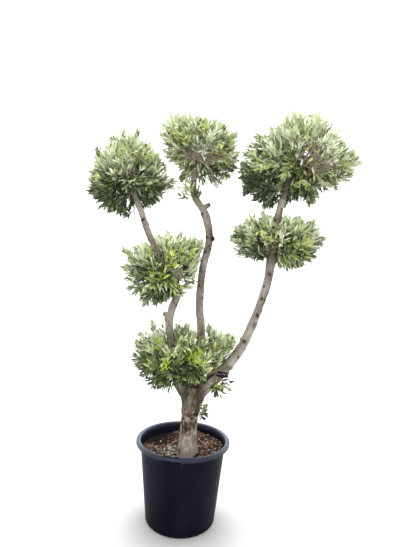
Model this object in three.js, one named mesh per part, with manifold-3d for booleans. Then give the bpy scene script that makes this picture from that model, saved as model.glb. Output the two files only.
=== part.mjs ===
// An olive tree trained on one short trunk and three boughs and clipped into six clouds of leaf,
// standing in its round black nursery pot.
//
// Millimetres, +Z up. The origin is the middle of the pot's flat underside, +X is the tree's right
// and +Y its back. Every piece is a solid of its own, and pieces that touch are GAP apart.

import * as THREE from 'three';
import { mergeVertices } from 'three/addons/utils/BufferGeometryUtils.js';
import Module from 'manifold-3d';

const wasm = await Module();
wasm.setup();

// ---- Driving dimensions ----------------------------------------------------------------------

const GAP = 0.3; // daylight between pieces that touch

const POT_HEIGHT = 432;
const POT_FOOT_RADIUS = 187; // outside, just above the rounded foot
const POT_SHOULDER_RADIUS = 228; // outside, just under the lip
const POT_WALL = 4;
const POT_FOOT_ROUND = 14;
const POT_SIDES = 36;
const LIP_RADIUS = 252;
const LIP_HEIGHT = 19;
const LIP_INNER_RADIUS = 229;
const LIP_ROUND = 7; // along the top edges
const LIP_BEVEL = [3, 4]; // in and up, along the bottom edge
const DRAIN_COUNT = 8;
const DRAIN_RADIUS = 9;
const DRAIN_CIRCLE = 148;

const SOIL_DROP = 40; // from the top of the lip down to the compost
const SOIL_TOP = POT_HEIGHT - SOIL_DROP;

const BARK_SIDES = 10;
const STUB_TAPER = 0.8; // width at the cut end as a share of the foot's
const TRUNK_FOOT = [24, -104]; // where the trunk leaves the compost
const TRUNK_BURIED = 30; // length of the limb that the flat cut takes off

const CORE_SHARE = 0.72; // how far the dense inside of a cloud goes towards its outline
const CORE_DETAIL = 3;
const CORE_CLEARANCE = 3; // between a cloud's core and a bough that runs through it
const STEM_ENDING_SHARE = 0.9; // a stem's width where its bough ends, as a share of the bough's
const STEM_BRANCHING_SHARE = 0.6; // the same where it leaves the side of its bough
const STEM_TAPER = 0.6;
const TWIG_RADIUS = 5.5;
const TWIG_TAPER = 0.7;
const TWIG_SUNK = 16;
const TWIG_RISE = 8; // least length of twig that shows on the core
const TWIG_UPTURN = 0.35; // how strongly shoots turn up towards the light
const LEAF_LENGTH = 86; // each leaf stands for a small spray
const LEAF_WIDTH = 27;
const LEAF_THICKNESS = 2.4;
const LEAF_SUNK = 4; // past the twig's axis
const LEAF_STEP = 0.16; // share of the twig from one pair of leaves to the next
const LEAF_SPREAD = 0.72; // angle between a leaf and its twig, radians
const LEAF_OVERHANG = 1.02; // share of the outline that a leaf tip may reach
const LEAF_SHRINK = [1, 0.88, 0.76, 0.64]; // sizes tried, until the tip keeps inside the outline
const LEAF_CLEARANCE = 2; // a twig or leaf that would come nearer to a limb is left out
const CLIPPED_LEAF_SHARE = 0.85; // of a leaf's length, from a clipped twig's tip to the outline
const SHOOT_LEAF_SHARE = 0.9; // of a leaf's length, from a young shoot's last leaves to its tip
const GOLDEN_ANGLE = Math.PI * (3 - Math.sqrt(5));

const COLOURS = {
  pot: 0x1b1e27,
  compost: 0x4a3028,
  bark: 0x8d8375,
  tie: 0x15161a,
  leaf: 0x7d8c62,
};

// ---- The tree's plan -------------------------------------------------------------------------

// Each limb is one taper: a centreline through a few bends, and its width at even steps along it.
const LIMBS = {
  trunk: {
    bends: [
      [...TRUNK_FOOT, SOIL_TOP - TRUNK_BURIED],
      [25, -98, 460],
      [27, -90, 555],
      [38, -86, 660],
      [47, -83, 744],
    ],
    widths: [114, 101, 94, 88, 89, 100, 126, 112],
    steps: 12,
  },
  right_bough: {
    bends: [
      [48, -84, 700],
      [96, -80, 738],
      [189, -70, 822],
      [280, -60, 939],
      [343, -48, 1081],
      [406, -35, 1270],
      [431, -25, 1424],
      [452, -5, 1615],
      [500, 18, 1812],
      [514, 24, 1872],
    ],
    widths: [92, 66, 52, 46, 42, 46, 50, 42, 38, 34],
    steps: 20,
  },
  left_bough: {
    bends: [
      [34, -84, 684],
      [-20, -80, 742],
      [-50, -70, 824],
      [-66, -60, 911],
      [-101, -46, 1048],
      [-90, -40, 1135],
      [-65, -32, 1218],
      [-88, -24, 1301],
      [-168, -10, 1414],
      [-223, 0, 1509],
      [-290, 0, 1673],
      [-336, 0, 1782],
    ],
    widths: [80, 60, 46, 42, 42, 38, 36, 34, 32],
    steps: 22,
  },
  middle_bough: {
    bends: [
      [50, -82, 700],
      [62, -68, 790],
      [69, -50, 880],
      [70, -20, 1021],
      [56, 10, 1183],
      [66, 42, 1356],
      [96, 65, 1528],
      [64, 85, 1669],
      [6, 98, 1760],
      [-6, 108, 1865],
      [2, 112, 1930],
    ],
    widths: [50, 47, 44, 42, 41, 41, 43, 39, 33],
    steps: 22,
  },
};

// Pruned stubs left on the boughs: where along the bough, which way they point, how long and wide.
const STUBS = [
  { bough: 'left_bough', along: 0.37, towards: [-0.8, -0.5, 0.35], length: 42, width: 30 },
  { bough: 'middle_bough', along: 0.8, towards: [0.75, -0.45, 0.5], length: 44, width: 30 },
  { bough: 'middle_bough', along: 0.66, towards: [0.8, -0.6, 0.1], length: 30, width: 30 },
  { bough: 'right_bough', along: 0.3, towards: [-0.8, -0.5, 0.3], length: 34, width: 18 },
];

// Each cloud is an egg of half-sizes about its centre with round lobes let into it, given as
// x, y, z from the centre and a radius. Its shoots are the tips, from the centre, of young growth
// that has outgrown the clip. Its stem leaves a limb at the share of the limb's length given.
const CLOUDS = [
  {
    name: 'cloud_bottom',
    centre: [-11, -100, 895],
    half: [231, 206],
    rise: 144,
    drop: 134,
    lobes: [[-130, -10, -12, 142], [120, 0, 21, 137], [-70, -41, -30, 138]],
    shoots: [
      [-192, 0, 195], [-228, 0, 108], [-70, 30, 186], [4, -40, 193], [117, 20, 197],
      [228, -10, 135],
    ],
    stem: ['left_bough', 0.2],
    sprigs: 18,
  },
  {
    name: 'cloud_mid_left',
    centre: [-140, -100, 1353],
    half: [172, 167],
    rise: 176,
    drop: 157,
    lobes: [
      [-99, -10, -26, 119], [100, 30, 50, 128], [-42, 0, -73, 122], [-95, -10, 50, 100],
      [140, 60, -40, 80],
    ],
    shoots: [[-196, -20, 96], [20, -10, 196]],
    stem: ['left_bough', 0.56],
    sprigs: 15,
  },
  {
    name: 'cloud_mid_right',
    centre: [467, -30, 1523],
    half: [210, 200],
    rise: 140,
    drop: 116,
    lobes: [[-144, 0, 11, 118], [142, 11, 16, 112], [60, -11, -30, 128]],
    shoots: [[-100, 0, 172], [112, 10, 152], [-264, 0, 22]],
    stem: ['right_bough', 0.73],
    sprigs: 16,
  },
  {
    name: 'cloud_top_left',
    centre: [-348, 0, 1839],
    half: [178, 178],
    rise: 228,
    drop: 165,
    lobes: [[-78, -21, -90, 133], [70, 11, -50, 136], [-95, -10, 20, 110], [150, 0, -38, 92]],
    shoots: [[-198, 0, 142]],
    stem: ['left_bough', 1],
    sprigs: 16,
  },
  {
    name: 'cloud_top_middle',
    centre: [26, 120, 2043],
    half: [197, 187],
    rise: 180,
    drop: 160,
    lobes: [
      [-105, -11, 62, 134], [100, 0, 48, 114], [95, -21, -85, 122], [-90, 0, -20, 118],
      [130, 0, -20, 92],
    ],
    shoots: [[136, 10, 186], [-137, 0, 200]],
    stem: ['middle_bough', 1],
    sprigs: 16,
  },
  {
    name: 'cloud_top_right',
    centre: [577, 30, 1987],
    half: [246, 224],
    rise: 250,
    drop: 215,
    lobes: [
      [-178, -11, -98, 172], [69, 21, 66, 156], [190, 11, -28, 130], [50, 0, -175, 85],
      [-150, 0, 72, 118], [-50, 0, -160, 105],
    ],
    shoots: [[44, 10, 271], [-50, 0, 262], [333, 0, 34]],
    stem: ['right_bough', 1],
    sprigs: 20,
  },
];

// Tufts of new leaf that break straight from the bark.
const TUFTS = [
  { name: 'tuft_trunk', limb: 'trunk', along: 0.7, towards: [0.8, -0.45, -0.1], length: 30 },
  { name: 'tuft_fork', limb: 'right_bough', along: 0.1, towards: [0.45, -0.75, -0.35], length: 50 },
  {
    name: 'tuft_middle_bough',
    limb: 'middle_bough',
    along: 0.84,
    towards: [-0.85, -0.45, 0.3],
    length: 52,
  },
];
const TUFT_PAIRS = 2; // of leaves
const TUFT_LEAF_SHARE = 0.62; // their leaves are smaller than the ones on a cloud

// The black tie round the foot of the right bough.
const TIE_ALONG = 0.135;
const TIE_WIDTH = 26;
const TIE_THICKNESS = 3;
const TIE_LOOSENESS = 1; // daylight between the strap and the bark

// ---- Solids ----------------------------------------------------------------------------------

function solid(geometry) {
  const bare = geometry.clone();
  bare.deleteAttribute('normal');
  bare.deleteAttribute('uv');
  const welded = mergeVertices(bare, 1e-4);
  const vertProperties = new Float32Array(welded.attributes.position.array);
  const triVerts = new Uint32Array(welded.index.array);
  return new wasm.Manifold(new wasm.Mesh({ numProp: 3, vertProperties, triVerts }));
}

// The biggest piece of a solid, as a geometry: loose scraps and sealed hollows are left behind.
function wholeBody(manifold) {
  const pieces = manifold.decompose();
  const body = pieces.reduce((best, piece) => (piece.volume() > best.volume() ? piece : best));
  const mesh = body.getMesh();
  const geometry = new THREE.BufferGeometry();
  geometry.setAttribute('position', new THREE.BufferAttribute(mesh.vertProperties, 3));
  geometry.setIndex(new THREE.BufferAttribute(mesh.triVerts, 1));
  geometry.computeVertexNormals();
  return geometry;
}

// Seeded numbers from 0 to 1, the same on every run.
function seededRandom(seed) {
  let state = seed;
  return () => {
    state = (state * 1664525 + 1013904223) % 4294967296;
    return state / 4294967296;
  };
}

const olive = new THREE.Group();
olive.name = 'cloud_olive_tree';

function addPiece(name, geometry, colour, roughness) {
  const material = new THREE.MeshStandardMaterial({ color: colour, roughness, metalness: 0 });
  const mesh = new THREE.Mesh(geometry, material);
  mesh.name = name;
  olive.add(mesh);
}

// ---- Pot -------------------------------------------------------------------------------------

const wallRise = POT_HEIGHT - LIP_HEIGHT - POT_FOOT_ROUND;
const wallFlare = (POT_SHOULDER_RADIUS - POT_FOOT_RADIUS) / wallRise;

// The wall's outside radius at a height above the underside.
function wallRadius(height) {
  return POT_FOOT_RADIUS + (height - POT_FOOT_ROUND) * wallFlare;
}

// A quarter turn of evenly spaced points about a centre, as [radius, height] on the section.
function quarter(centreRadius, centreHeight, radius, startAngle, steps) {
  const points = [];
  for (let i = 0; i <= steps; i++) {
    const angle = startAngle + (i / steps) * (Math.PI / 2);
    const x = centreRadius + radius * Math.cos(angle);
    points.push(new THREE.Vector2(x, centreHeight + radius * Math.sin(angle)));
  }
  return points;
}

// The moulded section runs out along the underside, up the wall, over the lip and down inside.
function potSection() {
  const lipFloor = POT_HEIGHT - LIP_HEIGHT;
  const footInside = POT_FOOT_RADIUS - POT_WALL;
  return [
    new THREE.Vector2(0, 0),
    ...quarter(POT_FOOT_RADIUS - POT_FOOT_ROUND, POT_FOOT_ROUND, POT_FOOT_ROUND, -Math.PI / 2, 3),
    new THREE.Vector2(wallRadius(lipFloor), lipFloor),
    new THREE.Vector2(LIP_RADIUS - LIP_BEVEL[0], lipFloor),
    new THREE.Vector2(LIP_RADIUS, lipFloor + LIP_BEVEL[1]),
    ...quarter(LIP_RADIUS - LIP_ROUND, POT_HEIGHT - LIP_ROUND, LIP_ROUND, 0, 3),
    ...quarter(LIP_INNER_RADIUS + LIP_ROUND, POT_HEIGHT - LIP_ROUND, LIP_ROUND, Math.PI / 2, 3),
    new THREE.Vector2(wallRadius(lipFloor) - POT_WALL, lipFloor),
    new THREE.Vector2(footInside, POT_FOOT_ROUND),
    new THREE.Vector2(footInside - POT_FOOT_ROUND + POT_WALL, POT_WALL),
    new THREE.Vector2(0, POT_WALL),
  ];
}

// A closed section turned about the pot's axis.
function turned(section) {
  const geometry = new THREE.LatheGeometry(section, POT_SIDES);
  geometry.rotateX(Math.PI / 2);
  return geometry;
}

function pot() {
  let body = solid(turned(potSection()));
  for (let i = 0; i < DRAIN_COUNT; i++) {
    const angle = ((i + 0.5) / DRAIN_COUNT) * 2 * Math.PI;
    const hole = new THREE.CylinderGeometry(DRAIN_RADIUS, DRAIN_RADIUS, 4 * POT_WALL, 8);
    hole.rotateX(Math.PI / 2);
    hole.translate(DRAIN_CIRCLE * Math.cos(angle), DRAIN_CIRCLE * Math.sin(angle), 0);
    body = body.subtract(solid(hole));
  }
  return wholeBody(body);
}

// The compost fills the pot to SOIL_TOP, GAP inside its wall and floor.
function compost() {
  const inset = POT_WALL + 2 * GAP;
  return turned([
    new THREE.Vector2(0, POT_WALL + GAP),
    new THREE.Vector2(POT_FOOT_RADIUS - POT_FOOT_ROUND - inset, POT_WALL + GAP),
    new THREE.Vector2(POT_FOOT_RADIUS - inset, POT_FOOT_ROUND + GAP),
    new THREE.Vector2(wallRadius(SOIL_TOP) - inset, SOIL_TOP),
    new THREE.Vector2(0, SOIL_TOP),
  ]);
}

addPiece('pot', pot(), COLOURS.pot, 0.42);
addPiece('compost', compost(), COLOURS.compost, 0.95);

// ---- Trunk and boughs ------------------------------------------------------------------------

function centreline(name) {
  const bends = LIMBS[name].bends.map((bend) => new THREE.Vector3(...bend));
  return new THREE.CatmullRomCurve3(bends, false, 'centripetal');
}

function radiusAt(name, along) {
  const { widths } = LIMBS[name];
  const place = along * (widths.length - 1);
  const step = Math.min(Math.floor(place), widths.length - 2);
  const ease = THREE.MathUtils.smoothstep(place - step, 0, 1);
  return THREE.MathUtils.lerp(widths[step], widths[step + 1], ease) / 2;
}

// A closed round bar bent along a curve, grown all round. Its ring radius goes by the share along.
function bentBar(curve, radius, sides, steps, grow) {
  const frames = curve.computeFrenetFrames(steps);
  const geometry = new THREE.CylinderGeometry(1, 1, 1, sides, steps);
  const at = geometry.attributes.position;
  for (let i = 0; i < at.count; i++) {
    const ring = Math.round((at.getY(i) + 0.5) * steps);
    const reach = radius(ring / steps) + grow;
    const point = curve.getPointAt(ring / steps);
    if (ring === 0 || ring === steps) {
      point.addScaledVector(frames.tangents[ring], ring === 0 ? -grow : grow);
    }
    point.addScaledVector(frames.normals[ring], at.getX(i) * reach);
    point.addScaledVector(frames.binormals[ring], -at.getZ(i) * reach);
    at.setXYZ(i, point.x, point.y, point.z);
  }
  return geometry;
}

// The limb's solid, thicker all round by grow.
function limbSolid(name, grow) {
  const radius = (along) => radiusAt(name, along);
  return solid(bentBar(centreline(name), radius, BARK_SIDES, LIMBS[name].steps, grow));
}

// A straight tapered peg from a point inside a limb, used for stubs, stems and twigs.
function peg(from, direction, length, footRadius, tipRadius, sides) {
  const geometry = new THREE.CylinderGeometry(tipRadius, footRadius, length, sides);
  geometry.translate(0, length / 2, 0);
  const turn = new THREE.Quaternion();
  turn.setFromUnitVectors(new THREE.Vector3(0, 1, 0), direction);
  geometry.applyQuaternion(turn);
  geometry.translate(from.x, from.y, from.z);
  return solid(geometry);
}

function stubSolid(stub, grow) {
  const foot = centreline(stub.bough).getPointAt(stub.along);
  const direction = new THREE.Vector3(...stub.towards).normalize();
  const radius = stub.width / 2 + grow;
  return peg(foot, direction, stub.length + grow, radius, radius * STUB_TAPER, 8);
}

// A limb with its stubs, grown all round, for cutting its neighbours clear of it.
function woodSolid(name, grow) {
  let wood = limbSolid(name, grow);
  for (const stub of STUBS.filter(({ bough }) => bough === name)) {
    wood = wood.add(stubSolid(stub, grow));
  }
  return wood;
}

const underground = new THREE.BoxGeometry(4 * LIP_RADIUS, 4 * LIP_RADIUS, 2 * SOIL_TOP);
underground.translate(0, 0, GAP);
const belowGround = solid(underground);

const clearOfWood = {};
const joined = [];
for (const name of Object.keys(LIMBS)) {
  let wood = woodSolid(name, 0).subtract(belowGround);
  for (const neighbour of joined) {
    wood = wood.subtract(clearOfWood[neighbour]);
  }
  clearOfWood[name] = woodSolid(name, GAP);
  joined.push(name);
  addPiece(name, wholeBody(wood), COLOURS.bark, 0.85);
}

// The tie is a strap wrapped once round the bough.
function tieBand() {
  const bough = centreline('right_bough');
  const length = bough.getLength();
  const halfShare = TIE_WIDTH / 2 / length;
  const foot = bough.getPointAt(TIE_ALONG - halfShare);
  const tip = bough.getPointAt(TIE_ALONG + halfShare);
  const direction = tip.clone().sub(foot).normalize();
  const outer = radiusAt('right_bough', TIE_ALONG) + TIE_LOOSENESS + TIE_THICKNESS;
  const strap = peg(foot, direction, TIE_WIDTH, outer, outer, 20);
  return wholeBody(strap.subtract(clearOfWood.right_bough).subtract(clearOfWood.trunk));
}

addPiece('tie_band', tieBand(), COLOURS.tie, 0.5);

// ---- Leaves ----------------------------------------------------------------------------------

const woodToAvoid = Object.keys(LIMBS)
  .map((name) => woodSolid(name, LEAF_CLEARANCE))
  .reduce((whole, wood) => whole.add(wood));

function touchesWood(piece) {
  return !piece.intersect(woodToAvoid).isEmpty();
}

// A leaf is a long flat double wedge, widest in the middle, with its root sunk behind its foot.
function leaf(foot, direction, side, share) {
  const length = (LEAF_LENGTH + LEAF_SUNK) * share;
  const geometry = new THREE.OctahedronGeometry(0.5);
  geometry.scale(LEAF_WIDTH * share, length, LEAF_THICKNESS);
  geometry.translate(0, length / 2 - LEAF_SUNK * share, 0);
  const across = new THREE.Vector3().crossVectors(direction, side).normalize();
  const basis = new THREE.Matrix4().makeBasis(
    new THREE.Vector3().crossVectors(direction, across),
    direction,
    across,
  );
  geometry.applyMatrix4(basis.setPosition(foot));
  return solid(geometry);
}

// A twig with opposite pairs of leaves, each pair at right angles to the last, and one at its tip.
function sprig(foot, axis, length, pairs, share, allowed, random) {
  const solids = [peg(foot, axis, length, TWIG_RADIUS, TWIG_RADIUS * TWIG_TAPER, 3)];
  const side = new THREE.Vector3(random() - 0.5, random() - 0.5, random() - 0.5);
  side.addScaledVector(axis, -side.dot(axis)).normalize();
  const tryLeaf = (root, direction, across) => {
    const fullSize = share * (0.92 + 0.2 * random());
    const pointAt = (size) => root.clone().addScaledVector(direction, LEAF_LENGTH * size);
    const fits = (size) => allowed(pointAt(size)) && allowed(pointAt(size / 2));
    const size = LEAF_SHRINK.map((shrink) => fullSize * shrink).find(fits);
    if (size) {
      solids.push(leaf(root, direction, across, size));
    }
  };
  for (let pair = 0; pair < pairs; pair++) {
    const rootShare = 1 - (pairs - pair) * LEAF_STEP;
    const root = foot.clone().addScaledVector(axis, length * rootShare);
    for (const hand of [-1, 1]) {
      const spread = LEAF_SPREAD * (0.85 + 0.3 * random());
      const direction = axis.clone().multiplyScalar(Math.cos(spread));
      direction.addScaledVector(side, hand * Math.sin(spread)).normalize();
      const across = new THREE.Vector3().crossVectors(axis, side);
      tryLeaf(root, direction, across);
    }
    side.cross(axis).normalize();
  }
  tryLeaf(foot.clone().addScaledVector(axis, length - LEAF_SUNK / 2), axis.clone(), side.clone());
  return solids;
}

// ---- Clouds ----------------------------------------------------------------------------------

// How far a cloud's outline is from its centre along a unit direction.
function outlineReach(cloud, direction) {
  const upright = direction.z > 0 ? cloud.rise : cloud.drop;
  const [wide, deep] = cloud.half;
  let reach = 1 / Math.hypot(direction.x / wide, direction.y / deep, direction.z / upright);
  for (const [x, y, z, radius] of cloud.lobes) {
    const lobe = new THREE.Vector3(x, y, z);
    const along = direction.dot(lobe);
    const inside = radius * radius - lobe.lengthSq() + along * along;
    if (inside > 0) {
      reach = Math.max(reach, along + Math.sqrt(inside));
    }
  }
  return reach;
}

// The dense inside of the cloud: a ball drawn out along every direction to a share of the outline.
function coreSolid(cloud) {
  const geometry = new THREE.IcosahedronGeometry(1, CORE_DETAIL);
  const at = geometry.attributes.position;
  for (let i = 0; i < at.count; i++) {
    const direction = new THREE.Vector3().fromBufferAttribute(at, i).normalize();
    direction.multiplyScalar(outlineReach(cloud, direction) * CORE_SHARE);
    at.setXYZ(i, direction.x, direction.y, direction.z);
  }
  geometry.translate(...cloud.centre);
  return solid(geometry);
}

// The stem starts inside its bough, at the tip or part way along, and runs into the core.
function stemSolid(cloud) {
  const [bough, along] = cloud.stem;
  const foot = centreline(bough).getPointAt(along);
  const centre = new THREE.Vector3(...cloud.centre);
  const direction = centre.clone().sub(foot);
  const length = direction.length();
  const share = along === 1 ? STEM_ENDING_SHARE : STEM_BRANCHING_SHARE;
  const radius = radiusAt(bough, along) * share;
  return peg(foot, direction.normalize(), length, radius, radius * STEM_TAPER, 8);
}

function cloudBody(cloud, random) {
  const centre = new THREE.Vector3(...cloud.centre);
  let body = coreSolid(cloud);
  for (const name of Object.keys(LIMBS)) {
    body = body.subtract(woodSolid(name, CORE_CLEARANCE));
  }
  body = body.add(stemSolid(cloud));
  for (const name of Object.keys(LIMBS)) {
    body = body.subtract(clearOfWood[name]);
  }
  const inside = (point) => {
    const arm = point.clone().sub(centre);
    const distance = arm.length();
    const reach = outlineReach(cloud, arm.normalize());
    return distance < reach * LEAF_OVERHANG;
  };
  const grow = (foot, axis, length, within) => {
    const [twig, ...leaves] = sprig(foot, axis, length, 1, 1, within, random);
    if (touchesWood(twig)) {
      return;
    }
    body = body.add(twig);
    for (const blade of leaves.filter((piece) => !touchesWood(piece))) {
      body = body.add(blade);
    }
  };
  for (let i = 0; i < cloud.sprigs; i++) {
    const height = 1 - (2 * (i + 0.5)) / cloud.sprigs;
    const ring = Math.sqrt(1 - height * height);
    const turn = i * GOLDEN_ANGLE;
    const outward = new THREE.Vector3(ring * Math.cos(turn), ring * Math.sin(turn), height);
    const reach = outlineReach(cloud, outward);
    const foot = centre.clone().addScaledVector(outward, reach * CORE_SHARE - TWIG_SUNK);
    const axis = outward.clone();
    axis.z += TWIG_UPTURN * (1 - Math.abs(height));
    axis.normalize();
    const underLeaf = reach * (1 - CORE_SHARE) - LEAF_LENGTH * CLIPPED_LEAF_SHARE;
    const showing = Math.max(underLeaf, TWIG_RISE);
    grow(foot, axis, TWIG_SUNK + showing, inside);
  }
  for (const [x, y, z] of cloud.shoots) {
    const tip = new THREE.Vector3(x, y, z);
    const outward = tip.clone().normalize();
    const sunk = outlineReach(cloud, outward) * CORE_SHARE - TWIG_SUNK;
    const foot = centre.clone().addScaledVector(outward, sunk);
    grow(foot, outward, tip.length() - sunk - LEAF_LENGTH * SHOOT_LEAF_SHARE, () => true);
  }
  return wholeBody(body);
}

const random = seededRandom(2417);
for (const cloud of CLOUDS) {
  addPiece(cloud.name, cloudBody(cloud, random), COLOURS.leaf, 0.7);
}

// ---- Tufts -----------------------------------------------------------------------------------

function tuftBody(tuft, randomNumber) {
  const foot = centreline(tuft.limb).getPointAt(tuft.along);
  const axis = new THREE.Vector3(...tuft.towards).normalize();
  const bark = radiusAt(tuft.limb, tuft.along);
  const anywhere = () => true;
  const length = bark + tuft.length;
  const solids = sprig(foot, axis, length, TUFT_PAIRS, TUFT_LEAF_SHARE, anywhere, randomNumber);
  let body = solids.reduce((whole, piece) => whole.add(piece));
  for (const name of Object.keys(LIMBS)) {
    body = body.subtract(clearOfWood[name]);
  }
  return wholeBody(body);
}

for (const tuft of TUFTS) {
  addPiece(tuft.name, tuftBody(tuft, random), COLOURS.leaf, 0.7);
}

export default olive;
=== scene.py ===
import math
import random

import bpy
import numpy as np
from mathutils import Matrix, Vector, noise


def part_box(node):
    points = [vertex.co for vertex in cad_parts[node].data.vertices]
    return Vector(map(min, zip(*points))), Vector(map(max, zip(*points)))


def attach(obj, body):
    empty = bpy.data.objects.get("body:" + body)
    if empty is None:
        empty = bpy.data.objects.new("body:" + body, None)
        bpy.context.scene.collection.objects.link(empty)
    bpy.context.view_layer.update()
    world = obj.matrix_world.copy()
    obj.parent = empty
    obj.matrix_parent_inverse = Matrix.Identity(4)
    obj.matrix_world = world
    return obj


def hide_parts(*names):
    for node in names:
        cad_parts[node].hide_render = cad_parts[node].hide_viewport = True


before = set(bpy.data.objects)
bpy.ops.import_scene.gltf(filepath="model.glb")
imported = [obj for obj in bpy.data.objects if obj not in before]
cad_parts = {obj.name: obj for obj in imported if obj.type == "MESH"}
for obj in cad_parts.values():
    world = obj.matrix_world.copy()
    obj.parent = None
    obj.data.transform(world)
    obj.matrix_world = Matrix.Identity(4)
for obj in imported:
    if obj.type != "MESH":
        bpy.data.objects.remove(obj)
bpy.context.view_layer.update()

# ==== The viewer ================================================================================
# A camera 2.2 m in front of the middle of the pot, held at chest height, nearly level and rolled
# slightly. Its lens is moderately wide.

VIEW_DISTANCE = 2.2
VIEW_HEIGHT = 1.357
VIEW_PITCH = math.radians(0.72)
VIEW_ROLL = math.radians(2.56)
VIEW_YAW = math.radians(1.34)
VIEW_LENS_MM = 26.77
SENSOR_MM = 36.0

level_right = Vector((math.cos(VIEW_YAW), -math.sin(VIEW_YAW), 0.0))
level_ahead = Vector((math.sin(VIEW_YAW), math.cos(VIEW_YAW), 0.0))
sky = Vector((0.0, 0.0, 1.0))
ahead = level_ahead * math.cos(VIEW_PITCH) - sky * math.sin(VIEW_PITCH)
pitched_up = sky * math.cos(VIEW_PITCH) + level_ahead * math.sin(VIEW_PITCH)
view_right = level_right * math.cos(VIEW_ROLL) + pitched_up * math.sin(VIEW_ROLL)
view_up = pitched_up * math.cos(VIEW_ROLL) - level_right * math.sin(VIEW_ROLL)

lens = bpy.data.cameras.new("viewer")
lens.lens = VIEW_LENS_MM
lens.sensor_fit = "AUTO"
lens.sensor_width = SENSOR_MM
lens.clip_end = 200.0
viewer = bpy.data.objects.new("viewer", lens)
bpy.context.scene.collection.objects.link(viewer)
turn = Matrix((view_right, view_up, -ahead)).transposed().to_4x4()
viewer.matrix_world = Matrix.Translation((0.0, -VIEW_DISTANCE, VIEW_HEIGHT)) @ turn
bpy.context.scene.camera = viewer

# ==== The room ==================================================================================
# A plain pale floor that runs off into white, with soft daylight from all round and one wide soft
# light from above that leaves the undersides of the clipped balls dark.

FLOOR_SIZE = 60.0
FLOOR_GREY = 0.47
DAYLIGHT = 1.77
OVERHEAD_STRENGTH = 4.25
OVERHEAD_SOFTNESS = math.radians(30.0)
OVERHEAD_FROM = (math.radians(-8.5), math.radians(1.0), 0.0)


def paint(red, green, blue):
    """A screen colour, 0 to 255, as the linear colour that a shader takes."""
    channels = [value / 255 for value in (red, green, blue)]
    linear = [c / 12.92 if c <= 0.04045 else ((c + 0.055) / 1.055) ** 2.4 for c in channels]
    return (*linear, 1.0)


def new_material(name, roughness, gloss):
    """A material with one Principled shader. Returns it with its node tree and its shader."""
    material = bpy.data.materials.new(name)
    material.use_nodes = True
    shader = material.node_tree.nodes["Principled BSDF"]
    shader.inputs["Roughness"].default_value = roughness
    shader.inputs["Specular IOR Level"].default_value = gloss
    return material, material.node_tree, shader


def mesh_piece(name, points, faces, materials, face_material=None, smooth=False):
    """Makes an object of a mesh from an array of points and faces, all with the same corners."""
    points = np.asarray(points, np.float32)
    faces = np.asarray(faces, np.int32)
    corners = faces.shape[1]
    mesh = bpy.data.meshes.new(name)
    mesh.vertices.add(len(points))
    mesh.vertices.foreach_set("co", points.ravel())
    mesh.loops.add(faces.size)
    mesh.loops.foreach_set("vertex_index", faces.ravel())
    mesh.polygons.add(len(faces))
    mesh.polygons.foreach_set("loop_start", np.arange(len(faces), dtype=np.int32) * corners)
    for material in materials:
        mesh.materials.append(material)
    if face_material is not None:
        mesh.polygons.foreach_set("material_index", np.asarray(face_material, np.int32))
    mesh.polygons.foreach_set("use_smooth", np.full(len(faces), smooth))
    mesh.update(calc_edges=True)
    mesh.validate()
    piece = bpy.data.objects.new(name, mesh)
    bpy.context.scene.collection.objects.link(piece)
    return piece


half_floor = FLOOR_SIZE / 2
floor_corners = [(-half_floor, -half_floor, 0), (half_floor, -half_floor, 0)]
floor_corners += [(half_floor, half_floor, 0), (-half_floor, half_floor, 0)]
floor_finish, _, floor_shader = new_material("floor_white", 0.9, 0.1)
floor_shader.inputs["Base Color"].default_value = (FLOOR_GREY, FLOOR_GREY, FLOOR_GREY, 1.0)
floor = mesh_piece("floor", floor_corners, [(0, 1, 2, 3)], [floor_finish])

world = bpy.data.worlds.new("daylight")
world.use_nodes = True
world.node_tree.nodes["Background"].inputs["Color"].default_value = (1.0, 1.0, 1.0, 1.0)
world.node_tree.nodes["Background"].inputs["Strength"].default_value = DAYLIGHT
bpy.context.scene.world = world
bpy.context.scene.view_settings.view_transform = "Standard"

overhead = bpy.data.lights.new("overhead", "SUN")
overhead.energy = OVERHEAD_STRENGTH
overhead.angle = OVERHEAD_SOFTNESS
overhead_lamp = bpy.data.objects.new("overhead", overhead)
overhead_lamp.rotation_euler = OVERHEAD_FROM
bpy.context.scene.collection.objects.link(overhead_lamp)

# ==== The pot ===================================================================================
# A round nursery pot, injection-moulded in black polypropylene. The wall is thin, the foot is
# rounded, and the lip is rolled outwards, with a flat label rest and a mould line at the front.

POT_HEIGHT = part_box("pot")[1].z
LIP_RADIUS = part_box("pot")[1].x
POT_FOOT_RADIUS = 0.187
POT_SHOULDER_RADIUS = 0.228
POT_WALL = 0.004
POT_FOOT_ROUND = 0.014
LIP_HEIGHT = 0.019
LIP_INNER_RADIUS = 0.229
POT_SIDES = 216
DETAIL_SPAN = (-117.0, -85.0)
DETAIL_STEP = 0.4
BAND_DROP = 0.026
BAND_PROUD = 0.0016
LIP_ROUND = 0.009
LIP_INSIDE_ROUND = 0.005
LIP_UNDER_ROUND = 0.0035
SHOULDER_HOLLOW = 0.006
SHOULDER_REACH = 0.0095
LABEL_REST = (math.radians(-113), math.radians(-90.5))
LABEL_REST_EASE = math.radians(0.4)
LABEL_REST_DEPTH = 0.009
LABEL_REST_DROP = 0.006
MOULD_LINE = math.radians(-89.6)
MOULD_LINE_WIDTH = math.radians(0.9)
MOULD_LINE_FOOT = 0.384
MOULD_LINE_PROUD = 0.004
DRAIN_COUNT = 8
DRAIN_RADIUS = 0.009
DRAIN_CIRCLE = 0.148
DRAIN_SIDES = 20
DRILL_REACH = 0.01

wall_rise = POT_HEIGHT - LIP_HEIGHT - POT_FOOT_ROUND
wall_flare = (POT_SHOULDER_RADIUS - POT_FOOT_RADIUS) / wall_rise


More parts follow.
